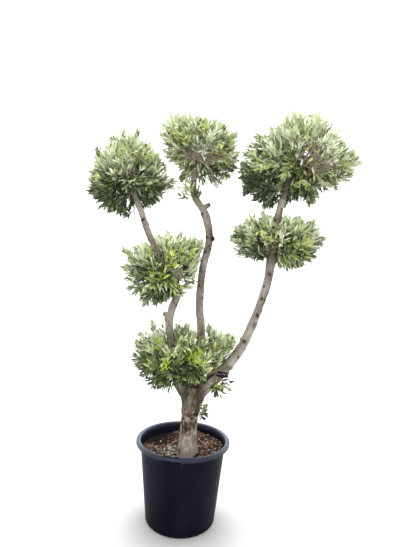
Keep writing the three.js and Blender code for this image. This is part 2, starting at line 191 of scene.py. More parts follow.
def wall_radius(height):
    """The wall's outside radius at a height above the underside."""
    return POT_FOOT_RADIUS + (height - POT_FOOT_ROUND) * wall_flare


def arc(centre_radius, centre_height, radius, start, end, steps):
    """Points of an arc on the section, as (radius, height). Angles are in degrees."""
    angles = [math.radians(start + (end - start) * i / steps) for i in range(steps + 1)]
    return [(centre_radius + radius * math.cos(a), centre_height + radius * math.sin(a)) for a in angles]


def turned(section, angles):
    """Points and faces of a closed section, from axis to axis, turned about the upright axis."""
    sides = len(angles)
    ring = [(r, z) for r, z in section if r > 0]
    points = [(r * math.cos(a), r * math.sin(a), z) for r, z in ring for a in angles]
    faces = []
    for i in range(len(ring) - 1):
        for j in range(sides):
            k = (j + 1) % sides
            faces.append((i * sides + j, i * sides + k, (i + 1) * sides + k, (i + 1) * sides + j))
    last = (len(ring) - 1) * sides
    points += [(0, 0, section[0][1]), (0, 0, section[-1][1])]
    foot, top = len(points) - 2, len(points) - 1
    for j in range(sides):
        k = (j + 1) % sides
        faces.append((foot, k, j, j))
        faces.append((top, last + j, last + k, last + k))
    return points, faces


def round_angles(sides):
    """Evenly spread angles all round."""
    return [2 * math.pi * i / sides for i in range(sides)]


def turned_piece(name, section, angles, material):
    """A closed turned body as an object."""
    points, faces = turned(section, angles)
    mesh = bpy.data.meshes.new(name)
    mesh.from_pydata(points, [], [tuple(dict.fromkeys(face)) for face in faces])
    mesh.materials.append(material)
    mesh.polygons.foreach_set("use_smooth", np.full(len(faces), True))
    piece = bpy.data.objects.new(name, mesh)
    bpy.context.scene.collection.objects.link(piece)
    return piece


def pot_section():
    """Along the underside, up the outside, over the lip and down the inside."""
    lip_floor = POT_HEIGHT - LIP_HEIGHT
    band = lip_floor - BAND_DROP
    foot_flat = POT_FOOT_RADIUS - POT_FOOT_ROUND
    section = [(0, 0), (0.06, 0), (0.12, 0), (0.16, 0)]
    section += arc(foot_flat, POT_FOOT_ROUND, POT_FOOT_ROUND, -90, 0, 6)
    section += [(wall_radius(z), z) for z in np.linspace(0.03, band - 0.004, 14)]
    section += [(wall_radius(band) + BAND_PROUD / 4, band - 0.001), (wall_radius(band) + BAND_PROUD, band)]
    section += [(wall_radius(band) + BAND_PROUD, lip_floor - SHOULDER_HOLLOW)]
    shoulder = POT_SHOULDER_RADIUS + SHOULDER_REACH
    section += arc(shoulder, lip_floor - SHOULDER_HOLLOW, SHOULDER_HOLLOW, 160, 90, 4)
    section += arc(LIP_RADIUS - LIP_UNDER_ROUND, lip_floor + LIP_UNDER_ROUND, LIP_UNDER_ROUND, -90, 0, 4)
    section += arc(LIP_RADIUS - LIP_ROUND, POT_HEIGHT - LIP_ROUND, LIP_ROUND, 0, 90, 7)
    inside_round = LIP_INNER_RADIUS + LIP_INSIDE_ROUND
    section += arc(inside_round, POT_HEIGHT - LIP_INSIDE_ROUND, LIP_INSIDE_ROUND, 90, 180, 5)
    section += [(LIP_INNER_RADIUS - 0.001, POT_HEIGHT - 0.012)]
    section += [(wall_radius(z) - POT_WALL, z) for z in np.linspace(lip_floor, POT_FOOT_ROUND, 10)]
    section += [(foot_flat - 0.002, POT_WALL), (0.08, POT_WALL), (0, POT_WALL)]
    return section


def on_mould_line(angle):
    """How far up on the mould line an angle round the pot is, 0 to 1."""
    return max(0.0, 1 - abs(angle - MOULD_LINE) / MOULD_LINE_WIDTH)


def moulded_details(mesh):
    """Presses the label rest into the lip and raises the mould line down the wall."""
    for vertex in mesh.vertices:
        x, y, z = vertex.co
        radius = math.hypot(x, y)
        angle = math.atan2(y, x)
        outside = radius > wall_radius(z) - POT_WALL / 2
        depth = 0.0
        if z > POT_HEIGHT - LIP_HEIGHT - 0.004 and radius > LIP_INNER_RADIUS + 0.002:
            within = min(angle - LABEL_REST[0], LABEL_REST[1] - angle) / LABEL_REST_EASE
            rest = max(0.0, min(1.0, within))
            outward = (radius - LIP_INNER_RADIUS) / (LIP_RADIUS - LIP_INNER_RADIUS)
            depth = LABEL_REST_DEPTH * rest * outward - MOULD_LINE_PROUD * on_mould_line(angle)
            if z > POT_HEIGHT - LIP_HEIGHT / 2:
                vertex.co.z -= LABEL_REST_DROP * rest
        elif outside and MOULD_LINE_FOOT < z < POT_HEIGHT - LIP_HEIGHT:
            depth = -MOULD_LINE_PROUD * on_mould_line(angle)
        vertex.co.x -= depth * x / max(radius, 0.001)
        vertex.co.y -= depth * y / max(radius, 0.001)


def applied(piece):
    """Keeps the result of a piece's modifiers as its mesh."""
    result = bpy.data.meshes.new_from_object(piece.evaluated_get(bpy.context.evaluated_depsgraph_get()))
    piece.modifiers.clear()
    piece.data = result
    return piece


def shader_node(tree, kind, inputs, **settings):
    """Adds a node to a material. Each input takes a value or the output of another node."""
    node = tree.nodes.new("ShaderNode" + kind)
    for name, value in settings.items():
        setattr(node, name, value)
    for socket, value in inputs.items():
        if isinstance(value, bpy.types.NodeSocket):
            tree.links.new(value, node.inputs[socket])
        else:
            node.inputs[socket].default_value = value
    return node


def surface_place(tree):
    """Where a point of the surface lies on its piece."""
    return tree.nodes.new("ShaderNodeTexCoord").outputs["Object"]


def mottle(tree, where, scale, detail=2.0, roughness=0.5):
    """A cloudy pattern from 0 to 1."""
    inputs = {"Vector": where, "Scale": scale, "Detail": detail, "Roughness": roughness}
    return shader_node(tree, "TexNoise", inputs).outputs["Fac"]


def tinted(tree, value, *stops):
    """Turns a pattern into a colour that changes from stop to stop of (value, colour)."""
    node = shader_node(tree, "ValToRGB", {"Fac": value})
    ends = node.color_ramp.elements
    ends[0].position, ends[0].color = stops[0]
    ends[1].position, ends[1].color = stops[-1]
    for position, colour in stops[1:-1]:
        ends.new(position).color = colour
    return node.outputs["Color"]


def roughen(tree, shader, height, strength, depth):
    """Gives the surface a fine relief that follows a pattern."""
    relief = shader_node(tree, "Bump", {"Height": height, "Strength": strength, "Distance": depth})
    tree.links.new(relief.outputs["Normal"], shader.inputs["Normal"])


def black_plastic(name, shine):
    """Satin black plastic with faint flow marks from the mould, and a pale painted highlight."""
    material, tree, shader = new_material(name, 0.40, shine)
    where = surface_place(tree)
    drawn_out = shader_node(tree, "Mapping", {"Vector": where, "Scale": (1.0, 1.0, 0.35)})
    flow = mottle(tree, drawn_out.outputs["Vector"], 9.0, 5.0)
    black = tinted(tree, flow, (0.35, paint(10, 11, 22)), (0.75, paint(19, 21, 34)))
    highlight_share = shader_node(tree, "Attribute", {}, attribute_name="painted_highlight").outputs["Fac"]
    # Pale blue-grey is mixed in where the painted highlight lies on the lip and mould line.
    blend = {"Factor": highlight_share, "A": black, "B": paint(150, 163, 192)}
    highlighted = shader_node(tree, "Mix", blend, data_type="RGBA")
    sheen = shader_node(tree, "MapRange", {"Value": flow, "To Min": 0.34, "To Max": 0.52})
    tree.links.new(highlighted.outputs["Result"], shader.inputs["Base Color"])
    tree.links.new(sheen.outputs["Result"], shader.inputs["Roughness"])
    roughen(tree, shader, mottle(tree, where, 900.0), 0.06, 0.0004)
    return material


# The painted highlight: faint over the outside of the lip, strong on top at its two sides, on its inner
# edge and on the mould line. Painted shade keeps the label rest darker, apart from a faint highlight of
# its own.
LIP_HIGHLIGHT = 0.045
LIP_SIDE_HIGHLIGHT = 0.16
LIP_EDGE_HIGHLIGHT = 0.10
MOULD_LINE_HIGHLIGHT = 0.10
LABEL_REST_HIGHLIGHT = 0.07
LABEL_REST_SHADE = 0.55


def pot_painted_highlight(x, y, z):
    """How much painted highlight the pot has at a point: most on top of the lip at its two sides."""
    radius, angle = math.hypot(x, y), math.atan2(y, x)
    if z < POT_HEIGHT - LIP_HEIGHT:
        raised = z > MOULD_LINE_FOOT and radius > wall_radius(z) - POT_WALL / 2
        return MOULD_LINE_HIGHLIGHT * on_mould_line(angle) * raised
    on_top = max(0.0, min(1.0, (z - POT_HEIGHT + LIP_HEIGHT * 0.7) / (LIP_HEIGHT * 0.5)))
    at_side = max(0.0, min(1.0, (abs(x) - 0.11) / 0.12))
    on_edge = radius < LIP_INNER_RADIUS + 0.007 and z > POT_HEIGHT - 0.006
    on_rest = LABEL_REST[0] < angle < LABEL_REST[1]
    on_outside = radius > LIP_INNER_RADIUS + 0.004
    lip = LIP_HIGHLIGHT * on_outside + LIP_SIDE_HIGHLIGHT * on_top * at_side**2 + LIP_EDGE_HIGHLIGHT * on_edge
    return lip * (1 - LABEL_REST_SHADE * on_rest) + LABEL_REST_HIGHLIGHT * on_rest * on_outside


wall_plastic = black_plastic("pot_wall_plastic", 0.035)
lip_plastic = black_plastic("pot_lip_plastic", 0.17)
fine_angles = [math.radians(a) for a in np.arange(*DETAIL_SPAN, DETAIL_STEP)]
fine_span = (fine_angles[0] + 2 * math.pi, fine_angles[-1] + 2 * math.pi)
coarse_angles = [a for a in round_angles(POT_SIDES) if not fine_span[0] < a < fine_span[1]]
pot_angles = sorted(coarse_angles + [a + 2 * math.pi for a in fine_angles])
pot = turned_piece("pot_shell", pot_section(), pot_angles, wall_plastic)
pot.data.materials.append(lip_plastic)
moulded_details(pot.data)
drill_points = []
drill_faces = []
for hole in range(DRAIN_COUNT):
    angle = (hole + 0.5) / DRAIN_COUNT * 2 * math.pi
    bit = [(0, -DRILL_REACH), (DRAIN_RADIUS, -DRILL_REACH), (DRAIN_RADIUS, DRILL_REACH), (0, DRILL_REACH)]
    bit_points, bit_faces = turned(bit, round_angles(DRAIN_SIDES))
    start = len(drill_points)
    centre = (DRAIN_CIRCLE * math.cos(angle), DRAIN_CIRCLE * math.sin(angle))
    drill_points += [(x + centre[0], y + centre[1], z) for x, y, z in bit_points]
    drill_faces += [tuple(dict.fromkeys(start + i for i in face)) for face in bit_faces]
drill_mesh = bpy.data.meshes.new("drill")
drill_mesh.from_pydata(drill_points, [], drill_faces)
drill = bpy.data.objects.new("drill", drill_mesh)
bpy.context.scene.collection.objects.link(drill)
holes = pot.modifiers.new("drain_holes", "BOOLEAN")
holes.operation = "DIFFERENCE"
holes.solver = "EXACT"
holes.object = drill
applied(pot)
bpy.data.objects.remove(drill)
# Each point keeps its painted highlight for the plastic's colour.
painted_highlight = pot.data.attributes.new("painted_highlight", "FLOAT", "POINT")
painted_highlight.data.foreach_set("value", [pot_painted_highlight(*vertex.co) for vertex in pot.data.vertices])
for face in pot.data.polygons:
    x, y, z = face.center
    on_rest = LABEL_REST[0] < math.atan2(y, x) < LABEL_REST[1]
    on_rest = on_rest and math.hypot(x, y) > LIP_INNER_RADIUS + 0.006
    face.material_index = int(z > POT_HEIGHT - LIP_HEIGHT and not on_rest)
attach(pot, "root")
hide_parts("pot")

# ==== The compost ===============================================================================
# Moist bark compost, loose and crumbly, a few centimetres below the lip. Chips of bark lie all
# over it, and dry leaves have collected to the left of the trunk.

COMPOST_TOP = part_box("compost")[1].z
COMPOST_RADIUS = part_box("compost")[1].x
TRUNK_FOOT = Vector((0.024, -0.104))
TRUNK_CLEAR = 0.05
HOLLOW, HOLLOW_SPREAD, HOLLOW_DEPTH = (-0.135, 0.115), 0.0080, 0.048
HEAP, HEAP_SPREAD, HEAP_HEIGHT = (0.082, -0.135), 0.0011, 0.016
# A patch of painted shadow at the right of the trunk's foot.
SHADOW_PATCH, SHADOW_SPREAD = (0.078, -0.120), 0.0006
GRIT_PATCH, GRIT_SPREAD = (0.040, -0.172), 0.0007

chance = random.Random(611)


def nearness(x, y, place, spread):
    """How near a point is to a place on the compost: 1 there, and less further off."""
    return math.exp(-((x - place[0]) ** 2 + (y - place[1]) ** 2) / spread)


def compost_height(x, y):
    """The height of the crumbly surface, with the hollow that watering has left behind the trunk."""
    lumps = 0.0035 * noise.noise(Vector((x * 34, y * 34, 0.5)))
    crumbs = 0.0022 * noise.noise(Vector((x * 130, y * 130, 7.0)))
    heap = HEAP_HEIGHT * nearness(x, y, HEAP, HEAP_SPREAD)
    hollow = HOLLOW_DEPTH * nearness(x, y, HOLLOW, HOLLOW_SPREAD)
    return COMPOST_TOP - 0.004 + lumps + crumbs + heap - hollow


def earthy(name, dark, light, scale):
    """A matt crumbly finish that wavers between two browns."""
    material, tree, shader = new_material(name, 0.95, 0.2)
    speckle = mottle(tree, surface_place(tree), scale, 8.0)
    browns = tinted(tree, speckle, (0.32, dark), (0.68, light))
    tree.links.new(browns, shader.inputs["Base Color"])
    roughen(tree, shader, speckle, 0.6, 0.002)
    return material


# The bed is one closed body: its surface is waved, and its underside follows the pot inside.
# The bed's near-black browns are its own dark colour and painted shade as well: it shows mostly on the
# shadowed slope of the hollow.
compost_bed = earthy("compost_bed", paint(9, 8, 8), paint(26, 20, 17), 160.0)
bed_section = [(0, POT_WALL + 0.001), (0.165, POT_WALL + 0.001), (0.18, 0.02)]
bed_section += [(wall_radius(z) - POT_WALL - 0.0008, z) for z in np.linspace(0.05, COMPOST_TOP - 0.014, 6)]
bed_section += [(COMPOST_RADIUS * share, COMPOST_TOP) for share in np.linspace(1.0, 0.02, 56)]
bed_section += [(0, COMPOST_TOP)]
bed = turned_piece("compost_bed", bed_section, round_angles(180), compost_bed)
for vertex in bed.data.vertices:
    if vertex.co.z > COMPOST_TOP - 0.001:
        vertex.co.z = compost_height(vertex.co.x, vertex.co.y)
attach(bed, "root")
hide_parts("compost")

chip_browns = [
    earthy("chip_dark", paint(26, 18, 16), paint(50, 37, 32), 90.0),
    earthy("chip_red", paint(84, 56, 44), paint(124, 88, 70), 90.0),
    earthy("chip_brown", paint(58, 43, 36), paint(92, 72, 60), 90.0),
    earthy("chip_tan", paint(140, 118, 102), paint(182, 164, 148), 90.0),
    earthy("chip_grit", paint(160, 156, 148), paint(200, 196, 190), 90.0),
]
CHIP_COUNT = 4600
CHIP_LENGTH = (0.0018, 0.0095, 0.003)
CHIP_WIDTH_SHARE = (0.35, 0.8)
CHIP_DEPTH_SHARE = (0.2, 0.45)
CHIP_CORNER_SHARE = (0.55, 1.0)
CHIP_TILT = (0.45, 0.4)
CHIP_SHARES = (0.38, 0.27, 0.26, 0.086, 0.004)
SHADOWED_CHIP_SHARES = (0.86, 0.04, 0.09, 0.01, 0)
GRITTY_CHIP_SHARES = (0.30, 0.12, 0.20, 0.18, 0.20)
CUBE = np.array([(x, y, z) for x in (-1, 1) for y in (-1, 1) for z in (-1, 1)], float)
CUBE_FACES = np.array([(0, 1, 3, 2), (4, 6, 7, 5), (0, 4, 5, 1), (2, 3, 7, 6), (0, 2, 6, 4), (1, 5, 7, 3)])
chip_points = []
chip_faces = []
chip_colours = []
while len(chip_points) < CHIP_COUNT:
    radius = (COMPOST_RADIUS - 0.006) * math.sqrt(chance.random())
    angle = chance.uniform(0, 2 * math.pi)
    x, y = radius * math.cos(angle), radius * math.sin(angle)
    if (Vector((x, y)) - TRUNK_FOOT).length < TRUNK_CLEAR:
        continue
    length = chance.triangular(*CHIP_LENGTH)
    size = length * np.array([1, chance.uniform(*CHIP_WIDTH_SHARE), chance.uniform(*CHIP_DEPTH_SHARE)])
    lean = Matrix.Rotation(chance.uniform(0, 2 * math.pi), 3, "Z")
    for tilt, axis in zip(CHIP_TILT, "XY"):
        lean = lean @ Matrix.Rotation(chance.gauss(0, tilt), 3, axis)
    broken = np.array([[chance.uniform(*CHIP_CORNER_SHARE) for _ in range(3)] for _ in range(8)])
    lie = np.array([x, y, compost_height(x, y) + size[2] * 0.4])
    chip_faces.append(CUBE_FACES + 8 * len(chip_points))
    chip_points.append((CUBE * size * broken) @ np.array(lean.transposed()) + lie)
    # Chips in the hollow at the back left and in the shadow patch mostly take dark browns, as painted
    # shadow.
    painted_shadow = nearness(x, y, HOLLOW, HOLLOW_SPREAD) + nearness(x, y, SHADOW_PATCH, SHADOW_SPREAD)
    shares = CHIP_SHARES
    if chance.random() < painted_shadow * 1.2:
        shares = SHADOWED_CHIP_SHARES
    elif chance.random() < nearness(x, y, GRIT_PATCH, GRIT_SPREAD):
        shares = GRITTY_CHIP_SHARES
    chip_colours += [chance.choices(range(5), shares)[0]] * len(CUBE_FACES)
chips = mesh_piece(
    "bark_chips", np.concatenate(chip_points), np.concatenate(chip_faces), chip_browns, chip_colours
)
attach(chips, "root")
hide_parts("compost")

# An olive leaf is a narrow closed blade, widest past its middle, with its edges turned under.
LEAF_RINGS = ((0.26, 0.86), (0.66, 0.92))
LEAF_HALF_THICKNESS = 0.009
LEAF_EDGE_DROP = 0.010
LEAF_BEND = 0.10
LEAF_TIP_DROP = 0.08


def leaf_shape():
    """Points of a leaf 1 long and 1 wide, and its triangles: the top half's first, then the other."""
    points = [(0.0, 0.0, 0.0)]
    for along, width in LEAF_RINGS:
        bend = -LEAF_BEND * (along - 0.2) ** 2
        edge = bend - LEAF_EDGE_DROP * width
        thick = LEAF_HALF_THICKNESS * (0.5 + width / 2)
        points += [(-width / 2, along, edge), (0, along, bend + thick)]
        points += [(width / 2, along, edge), (0, along, bend - thick)]
    points.append((0.0, 1.0, -LEAF_TIP_DROP))
    tip = len(points) - 1
    top, under = [], []
    for side, faces in ((0, top), (1, top), (2, under), (3, under)):
        following = (side + 1) % 4
        faces.append((0, 1 + following, 1 + side))
        for ring in range(len(LEAF_RINGS) - 1):
            a, b = 1 + 4 * ring + side, 1 + 4 * ring + following
            faces += [(a, b, b + 4), (a, b + 4, a + 4)]
        last = 1 + 4 * (len(LEAF_RINGS) - 1)
        faces.append((last + side, last + following, tip))
    return np.array(points), np.array(top + under), len(top)


LEAF_POINTS, LEAF_FACES, LEAF_TOP_FACES = leaf_shape()


def leaves_piece(name, leaves, finishes, undersides):
    """One mesh of many leaves. Each leaf is (root, direction, facing, length, width, colour).

    undersides gives, for each colour, the finish of the leaf's other face."""
    roots, ways, facings = (np.array([leaf[i] for leaf in leaves]) for i in range(3))
    lengths, widths = (np.array([leaf[i] for leaf in leaves])[:, None] for i in (3, 4))
    sides = np.cross(ways, facings)
    sides /= np.linalg.norm(sides, axis=1, keepdims=True)
    facings = np.cross(sides, ways)
    points = roots[:, None] + LEAF_POINTS[None, :, 0:1] * (sides * widths)[:, None]
    points = points + LEAF_POINTS[None, :, 1:2] * (ways * lengths)[:, None]
    points = points + LEAF_POINTS[None, :, 2:3] * (facings * lengths)[:, None]
    steps = (np.arange(len(leaves)) * len(LEAF_POINTS))[:, None, None]
    faces = (LEAF_FACES[None] + steps).reshape(-1, 3)
    colours = np.repeat(np.array([leaf[5] for leaf in leaves])[:, None], len(LEAF_FACES), axis=1)
    colours[:, LEAF_TOP_FACES:] = np.array(undersides)[colours[:, LEAF_TOP_FACES:]]
    return mesh_piece(name, points.reshape(-1, 3), faces, finishes, colours.ravel())


def leafy(name, colour, roughness, gloss):
    """A leaf's finish: one plain colour with a fine leathery grain."""
    material, tree, shader = new_material(name, roughness, gloss)
    shader.inputs["Base Color"].default_value = colour
    roughen(tree, shader, mottle(tree, surface_place(tree), 420.0), 0.25, 0.0006)
    return material


dry_finishes = [
    leafy("dry_leaf_grey", paint(124, 130, 116), 0.8, 0.15),
    leafy("dry_leaf_tan", paint(100, 90, 74), 0.8, 0.15),
    leafy("dry_leaf_under", paint(150, 155, 143), 0.8, 0.15),
]
FALLEN_COUNT = 90
DRIFTED_SHARE = 0.86
DRIFT, DRIFT_SPREAD = (-0.060, -0.072), (0.026, 0.038)
FALLEN_LENGTH = (0.022, 0.042)
FALLEN_WIDTH = (0.005, 0.009)
fallen = []
while len(fallen) < FALLEN_COUNT:
    drifted = len(fallen) < FALLEN_COUNT * DRIFTED_SHARE
    x, y = (
        chance.gauss(middle, spread) if drifted else chance.uniform(-0.2, 0.2)
        for middle, spread in zip(DRIFT, DRIFT_SPREAD)
    )
    if math.hypot(x, y) > COMPOST_RADIUS - 0.02:
        continue
    if (Vector((x, y)) - TRUNK_FOOT).length < TRUNK_CLEAR + 0.005:
        continue
    heading = chance.uniform(0, 2 * math.pi)
    way = Vector((math.cos(heading), math.sin(heading), chance.gauss(0, 0.12))).normalized()
    facing = Vector((chance.gauss(0, 0.35), chance.gauss(0, 0.35), chance.choice((1, 1, -1))))
    root = Vector((x, y, compost_height(x, y) + 0.006)) - way * 0.02
    length, width = chance.uniform(*FALLEN_LENGTH), chance.uniform(*FALLEN_WIDTH)
    fallen.append((root, way, facing, length, width, chance.randrange(2)))
litter = leaves_piece("fallen_leaves", fallen, dry_finishes, (2, 2))
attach(litter, "root")
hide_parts("compost")

# ==== Trunk and boughs ==========================================================================
# One short trunk forks low into three boughs that bend up to carry the clipped balls. The wood is
# one living body with grey-brown bark, smooth in places, with knots, scars and pruned stubs.

# Each limb: the places that its middle line bends through, and its widths, evenly spread along it.
LIMBS = {
    "trunk": {
        "bends": [
            (0.024, -0.104, 0.362), (0.025, -0.098, 0.460), (0.027, -0.090, 0.555),
            (0.038, -0.086, 0.660), (0.047, -0.083, 0.744),
        ],
        "widths": [0.114, 0.101, 0.094, 0.088, 0.089, 0.100, 0.126, 0.112],
    },
    "right_bough": {
        "bends": [
            (0.048, -0.084, 0.700), (0.096, -0.080, 0.738), (0.189, -0.070, 0.822),
            (0.280, -0.060, 0.939), (0.343, -0.048, 1.081), (0.406, -0.035, 1.270),
            (0.431, -0.025, 1.424), (0.452, -0.005, 1.615), (0.500, 0.018, 1.812),
            (0.514, 0.024, 1.872),
        ],
        "widths": [0.092, 0.066, 0.052, 0.046, 0.042, 0.046, 0.050, 0.042, 0.038, 0.034],
    },
    "left_bough": {
        "bends": [
            (0.034, -0.084, 0.684), (-0.020, -0.080, 0.742), (-0.050, -0.070, 0.824),
            (-0.066, -0.060, 0.911), (-0.101, -0.046, 1.048), (-0.090, -0.040, 1.135),
            (-0.065, -0.032, 1.218), (-0.088, -0.024, 1.301), (-0.168, -0.010, 1.414),
            (-0.223, 0.000, 1.509), (-0.290, 0.000, 1.673), (-0.336, 0.000, 1.782),
        ],
        "widths": [0.080, 0.060, 0.046, 0.042, 0.042, 0.038, 0.036, 0.034, 0.032],
    },
    "middle_bough": {
        "bends": [
            (0.050, -0.082, 0.700), (0.062, -0.068, 0.790), (0.069, -0.050, 0.880),
            (0.070, -0.020, 1.021), (0.056, 0.010, 1.183), (0.066, 0.042, 1.356),
            (0.096, 0.065, 1.528), (0.064, 0.085, 1.669), (0.006, 0.098, 1.760),
            (-0.006, 0.108, 1.865), (0.002, 0.112, 1.930),
        ],
        "widths": [0.050, 0.047, 0.044, 0.042, 0.041, 0.041, 0.043, 0.039, 0.033],
    },
}
# Each stub: its limb, the share of the limb's length it stands at, its way, its length and width.
STUBS = [
    ("left_bough", 0.37, (-0.8, -0.5, 0.35), 0.042, 0.030),
    ("left_bough", 0.357, (-0.85, -0.4, 0.0), 0.026, 0.040),
    ("middle_bough", 0.80, (0.80, -0.40, 0.5), 0.052, 0.032),
    ("middle_bough", 0.66, (0.8, -0.6, 0.1), 0.030, 0.030),
    ("right_bough", 0.30, (-0.8, -0.5, 0.3), 0.034, 0.018),
]
LIMB_STATIONS = 240
BARK_SIDES = 36
BARK_GRID = 0.0034
STUB_SIDES = 16
STUB_STEPS = 9
STUB_TAPER = 0.2


def bend_curve(bends, stations):
    """Evenly spaced points of a smooth curve through the bends, knotted by their root distance."""
    given = [np.array(bend) for bend in bends]
    ends = [2 * given[0] - given[1], *given, 2 * given[-1] - given[-2]]
    fine = []
    for p0, p1, p2, p3 in zip(ends, ends[1:], ends[2:], ends[3:]):
        d0, d1, d2 = (max(np.linalg.norm(b - a) ** 0.5, 1e-6) for a, b in ((p0, p1), (p1, p2), (p2, p3)))
        m1 = (p2 - p1) + d1 * ((p1 - p0) / d0 - (p2 - p0) / (d0 + d1))
        m2 = (p2 - p1) + d1 * ((p3 - p2) / d2 - (p3 - p1) / (d1 + d2))
        for t in np.linspace(0, 1, 40, endpoint=False):
            fine.append(
                (2 * t**3 - 3 * t**2 + 1) * p1
                + (t**3 - 2 * t**2 + t) * m1
                + (3 * t**2 - 2 * t**3) * p2
                + (t**3 - t**2) * m2
            )
    fine = np.array([*fine, given[-1]])
    run = np.concatenate([[0], np.cumsum(np.linalg.norm(np.diff(fine, axis=0), axis=1))])
    even = np.linspace(0, run[-1], stations + 1)
    return np.stack([np.interp(even, run, fine[:, axis]) for axis in range(3)], axis=1)


def width_at(widths, along):
    """A limb's width at a share of its length, eased between the widths given."""
    place = along * (len(widths) - 1)
    step = min(int(place), len(widths) - 2)
    ease = place - step
    ease = ease * ease * (3 - 2 * ease)
    return widths[step] + (widths[step + 1] - widths[step]) * ease


def tube(path, radii, sides):
    """Points and quads of a closed tube along a path, with its section turned as little as possible."""
    path = np.asarray(path, float)
    ways = np.gradient(path, axis=0)
    ways /= np.linalg.norm(ways, axis=1, keepdims=True)
    side = np.cross(ways[0], (0.3, 0.9, 0.1))
    side /= np.linalg.norm(side)
    angles = np.arange(sides) * 2 * math.pi / sides
    points = []
    for centre, way, radius in zip(path, ways, radii):
        side = side - way * side.dot(way)
        side /= np.linalg.norm(side)
        other = np.cross(way, side)
        points.append(centre + radius * (np.outer(np.cos(angles), side) + np.outer(np.sin(angles), other)))
    points = np.concatenate([*points, path[:1], path[-1:]])
    ring = np.arange(sides)
    after = (ring + 1) % sides
    faces = [
        np.stack([i * sides + ring, i * sides + after, (i + 1) * sides + after, (i + 1) * sides + ring], 1)
        for i in range(len(path) - 1)
    ]
    first, last, top = len(path) * sides, len(path) * sides + 1, (len(path) - 1) * sides
    faces.append(np.stack([np.full(sides, first), after, ring, ring], 1))
    faces.append(np.stack([np.full(sides, last), top + ring, top + after, top + after], 1))
    return points, np.concatenate(faces)


limb_paths = {name: bend_curve(limb["bends"], LIMB_STATIONS) for name, limb in LIMBS.items()}
limb_radii = {
    name: np.array([width_at(limb["widths"], i / LIMB_STATIONS) / 2 for i in range(LIMB_STATIONS + 1)])
    for name, limb in LIMBS.items()
}


def limb_point(name, along):
    """The middle of a limb at a share of its length."""
    return Vector(limb_paths[name][round(along * LIMB_STATIONS)])


def limb_radius(name, along):
    """Half the limb's width at a share of its length."""
    return float(limb_radii[name][round(along * LIMB_STATIONS)])


wood_points = []
wood_faces = []
for name in LIMBS:
    limb_tube = tube(limb_paths[name], limb_radii[name], BARK_SIDES)
    wood_faces.append(limb_tube[1] + sum(len(p) for p in wood_points))
    wood_points.append(limb_tube[0])
stub_ends = []
for name, along, towards, length, width in STUBS:
    foot = np.array(limb_point(name, along))
    way = np.array(Vector(towards).normalized())
    steps = np.linspace(0, 1, STUB_STEPS)
    radii = width / 2 * (1 - STUB_TAPER * steps)
    stub_tube = tube(foot + np.outer(steps * length, way), radii, STUB_SIDES)
    wood_faces.append(stub_tube[1] + sum(len(p) for p in wood_points))
    wood_points.append(stub_tube[0])
    stub_ends.append((foot + way * length, width / 2))
wood_mesh = bpy.data.meshes.new("wood")
wood_quads = [tuple(dict.fromkeys(face)) for face in np.concatenate(wood_faces).tolist()]
wood_mesh.from_pydata(np.concatenate(wood_points).tolist(), [], wood_quads)
wood = bpy.data.objects.new("bark", wood_mesh)
bpy.context.scene.collection.objects.link(wood)
fuse = wood.modifiers.new("fuse", "REMESH")
fuse.mode = "VOXEL"
fuse.voxel_size = BARK_GRID
soften = wood.modifiers.new("soften", "SMOOTH")
soften.factor = 0.5
soften.iterations = 7
applied(wood)


def point_values(piece, name):
    """One of the coordinates or normals of a piece's points, as rows of three."""
    values = np.zeros(len(piece.data.vertices) * 3, np.float32)
    piece.data.vertices.foreach_get(name, values)
    return values.reshape(-1, 3).astype(float)


# Where each point of the bark lies along its own limb, so that the grain can run with the wood.
# Each limb's run starts further on than the last one's, so that no two share a grain.
LIMB_SHIFT = 10

places = point_values(wood, "co")
normals = point_values(wood, "normal")
every_centre = np.concatenate([limb_paths[name][::3] for name in LIMBS])
every_radius = np.concatenate([limb_radii[name][::3] for name in LIMBS])
every_run = []
for number, name in enumerate(LIMBS):
    station_length = np.linalg.norm(limb_paths[name][1] - limb_paths[name][0])
    every_run.append(np.arange(0, LIMB_STATIONS + 1, 3) * station_length + number * LIMB_SHIFT)
every_run = np.concatenate(every_run)
nearest = np.zeros(len(places), int)
for start in range(0, len(places), 4000):
    block = places[start : start + 4000]
    apart = np.linalg.norm(block[:, None] - every_centre[None], axis=2) - every_radius[None]
    nearest[start : start + 4000] = apart.argmin(axis=1)

# Each knot: its place and its size.
KNOTS = [
    ((0.112, 0.045, 1.526), 0.014), ((0.353, -0.070, 1.068), 0.020), ((0.363, -0.060, 1.115), 0.013),
    ((0.047, 0.070, 1.653), 0.014), ((0.010, -0.150, 0.530), 0.024), ((0.060, -0.125, 0.610), 0.016),
    ((-0.020, -0.130, 0.420), 0.016), ((0.055, 0.000, 1.130), 0.012), ((0.080, -0.040, 0.960), 0.014),
    ((0.215, -0.100, 0.850), 0.018), ((0.300, -0.085, 0.985), 0.014), ((0.420, -0.050, 1.340), 0.013),
    ((-0.115, -0.060, 1.010), 0.014), ((-0.150, -0.030, 1.390), 0.012), ((-0.270, -0.015, 1.600), 0.012),
]

SWELL, LUMP, CRACK, FLAKE = 0.0030, 0.0016, 0.0013, 0.0007
CRACK_SHARE = 0.16
THICK_LIMB_RADIUS = 0.045
SMOOTH_FOOT_TOP = 0.55


def bark_relief(place, normal, run, radius):
    """How far the bark stands out at a point, in metres, and how deep it lies in a crack, 0 to 1."""
    x, y, z = place
    swell = SWELL * noise.noise(Vector((x * 16, y * 16, z * 9)))
    lumps = LUMP * noise.noise(Vector((x * 55, y * 55, z * 30 + 3)))
    grain = noise.noise(Vector((normal[0] * 5.5 + x * 20, normal[1] * 5.5 + y * 20, run * 26)))
    fissure = max(0.0, CRACK_SHARE - abs(grain)) / CRACK_SHARE
    rough = min(1.0, radius / THICK_LIMB_RADIUS)
    flakes = noise.noise(Vector((x * 150, y * 150, z * 90)))
    out = swell * (0.5 + rough / 2) + lumps - CRACK * fissure * rough + FLAKE * flakes
    if z < SMOOTH_FOOT_TOP:
        out *= 0.5
    return out, fissure * (0.35 + 0.65 * rough)


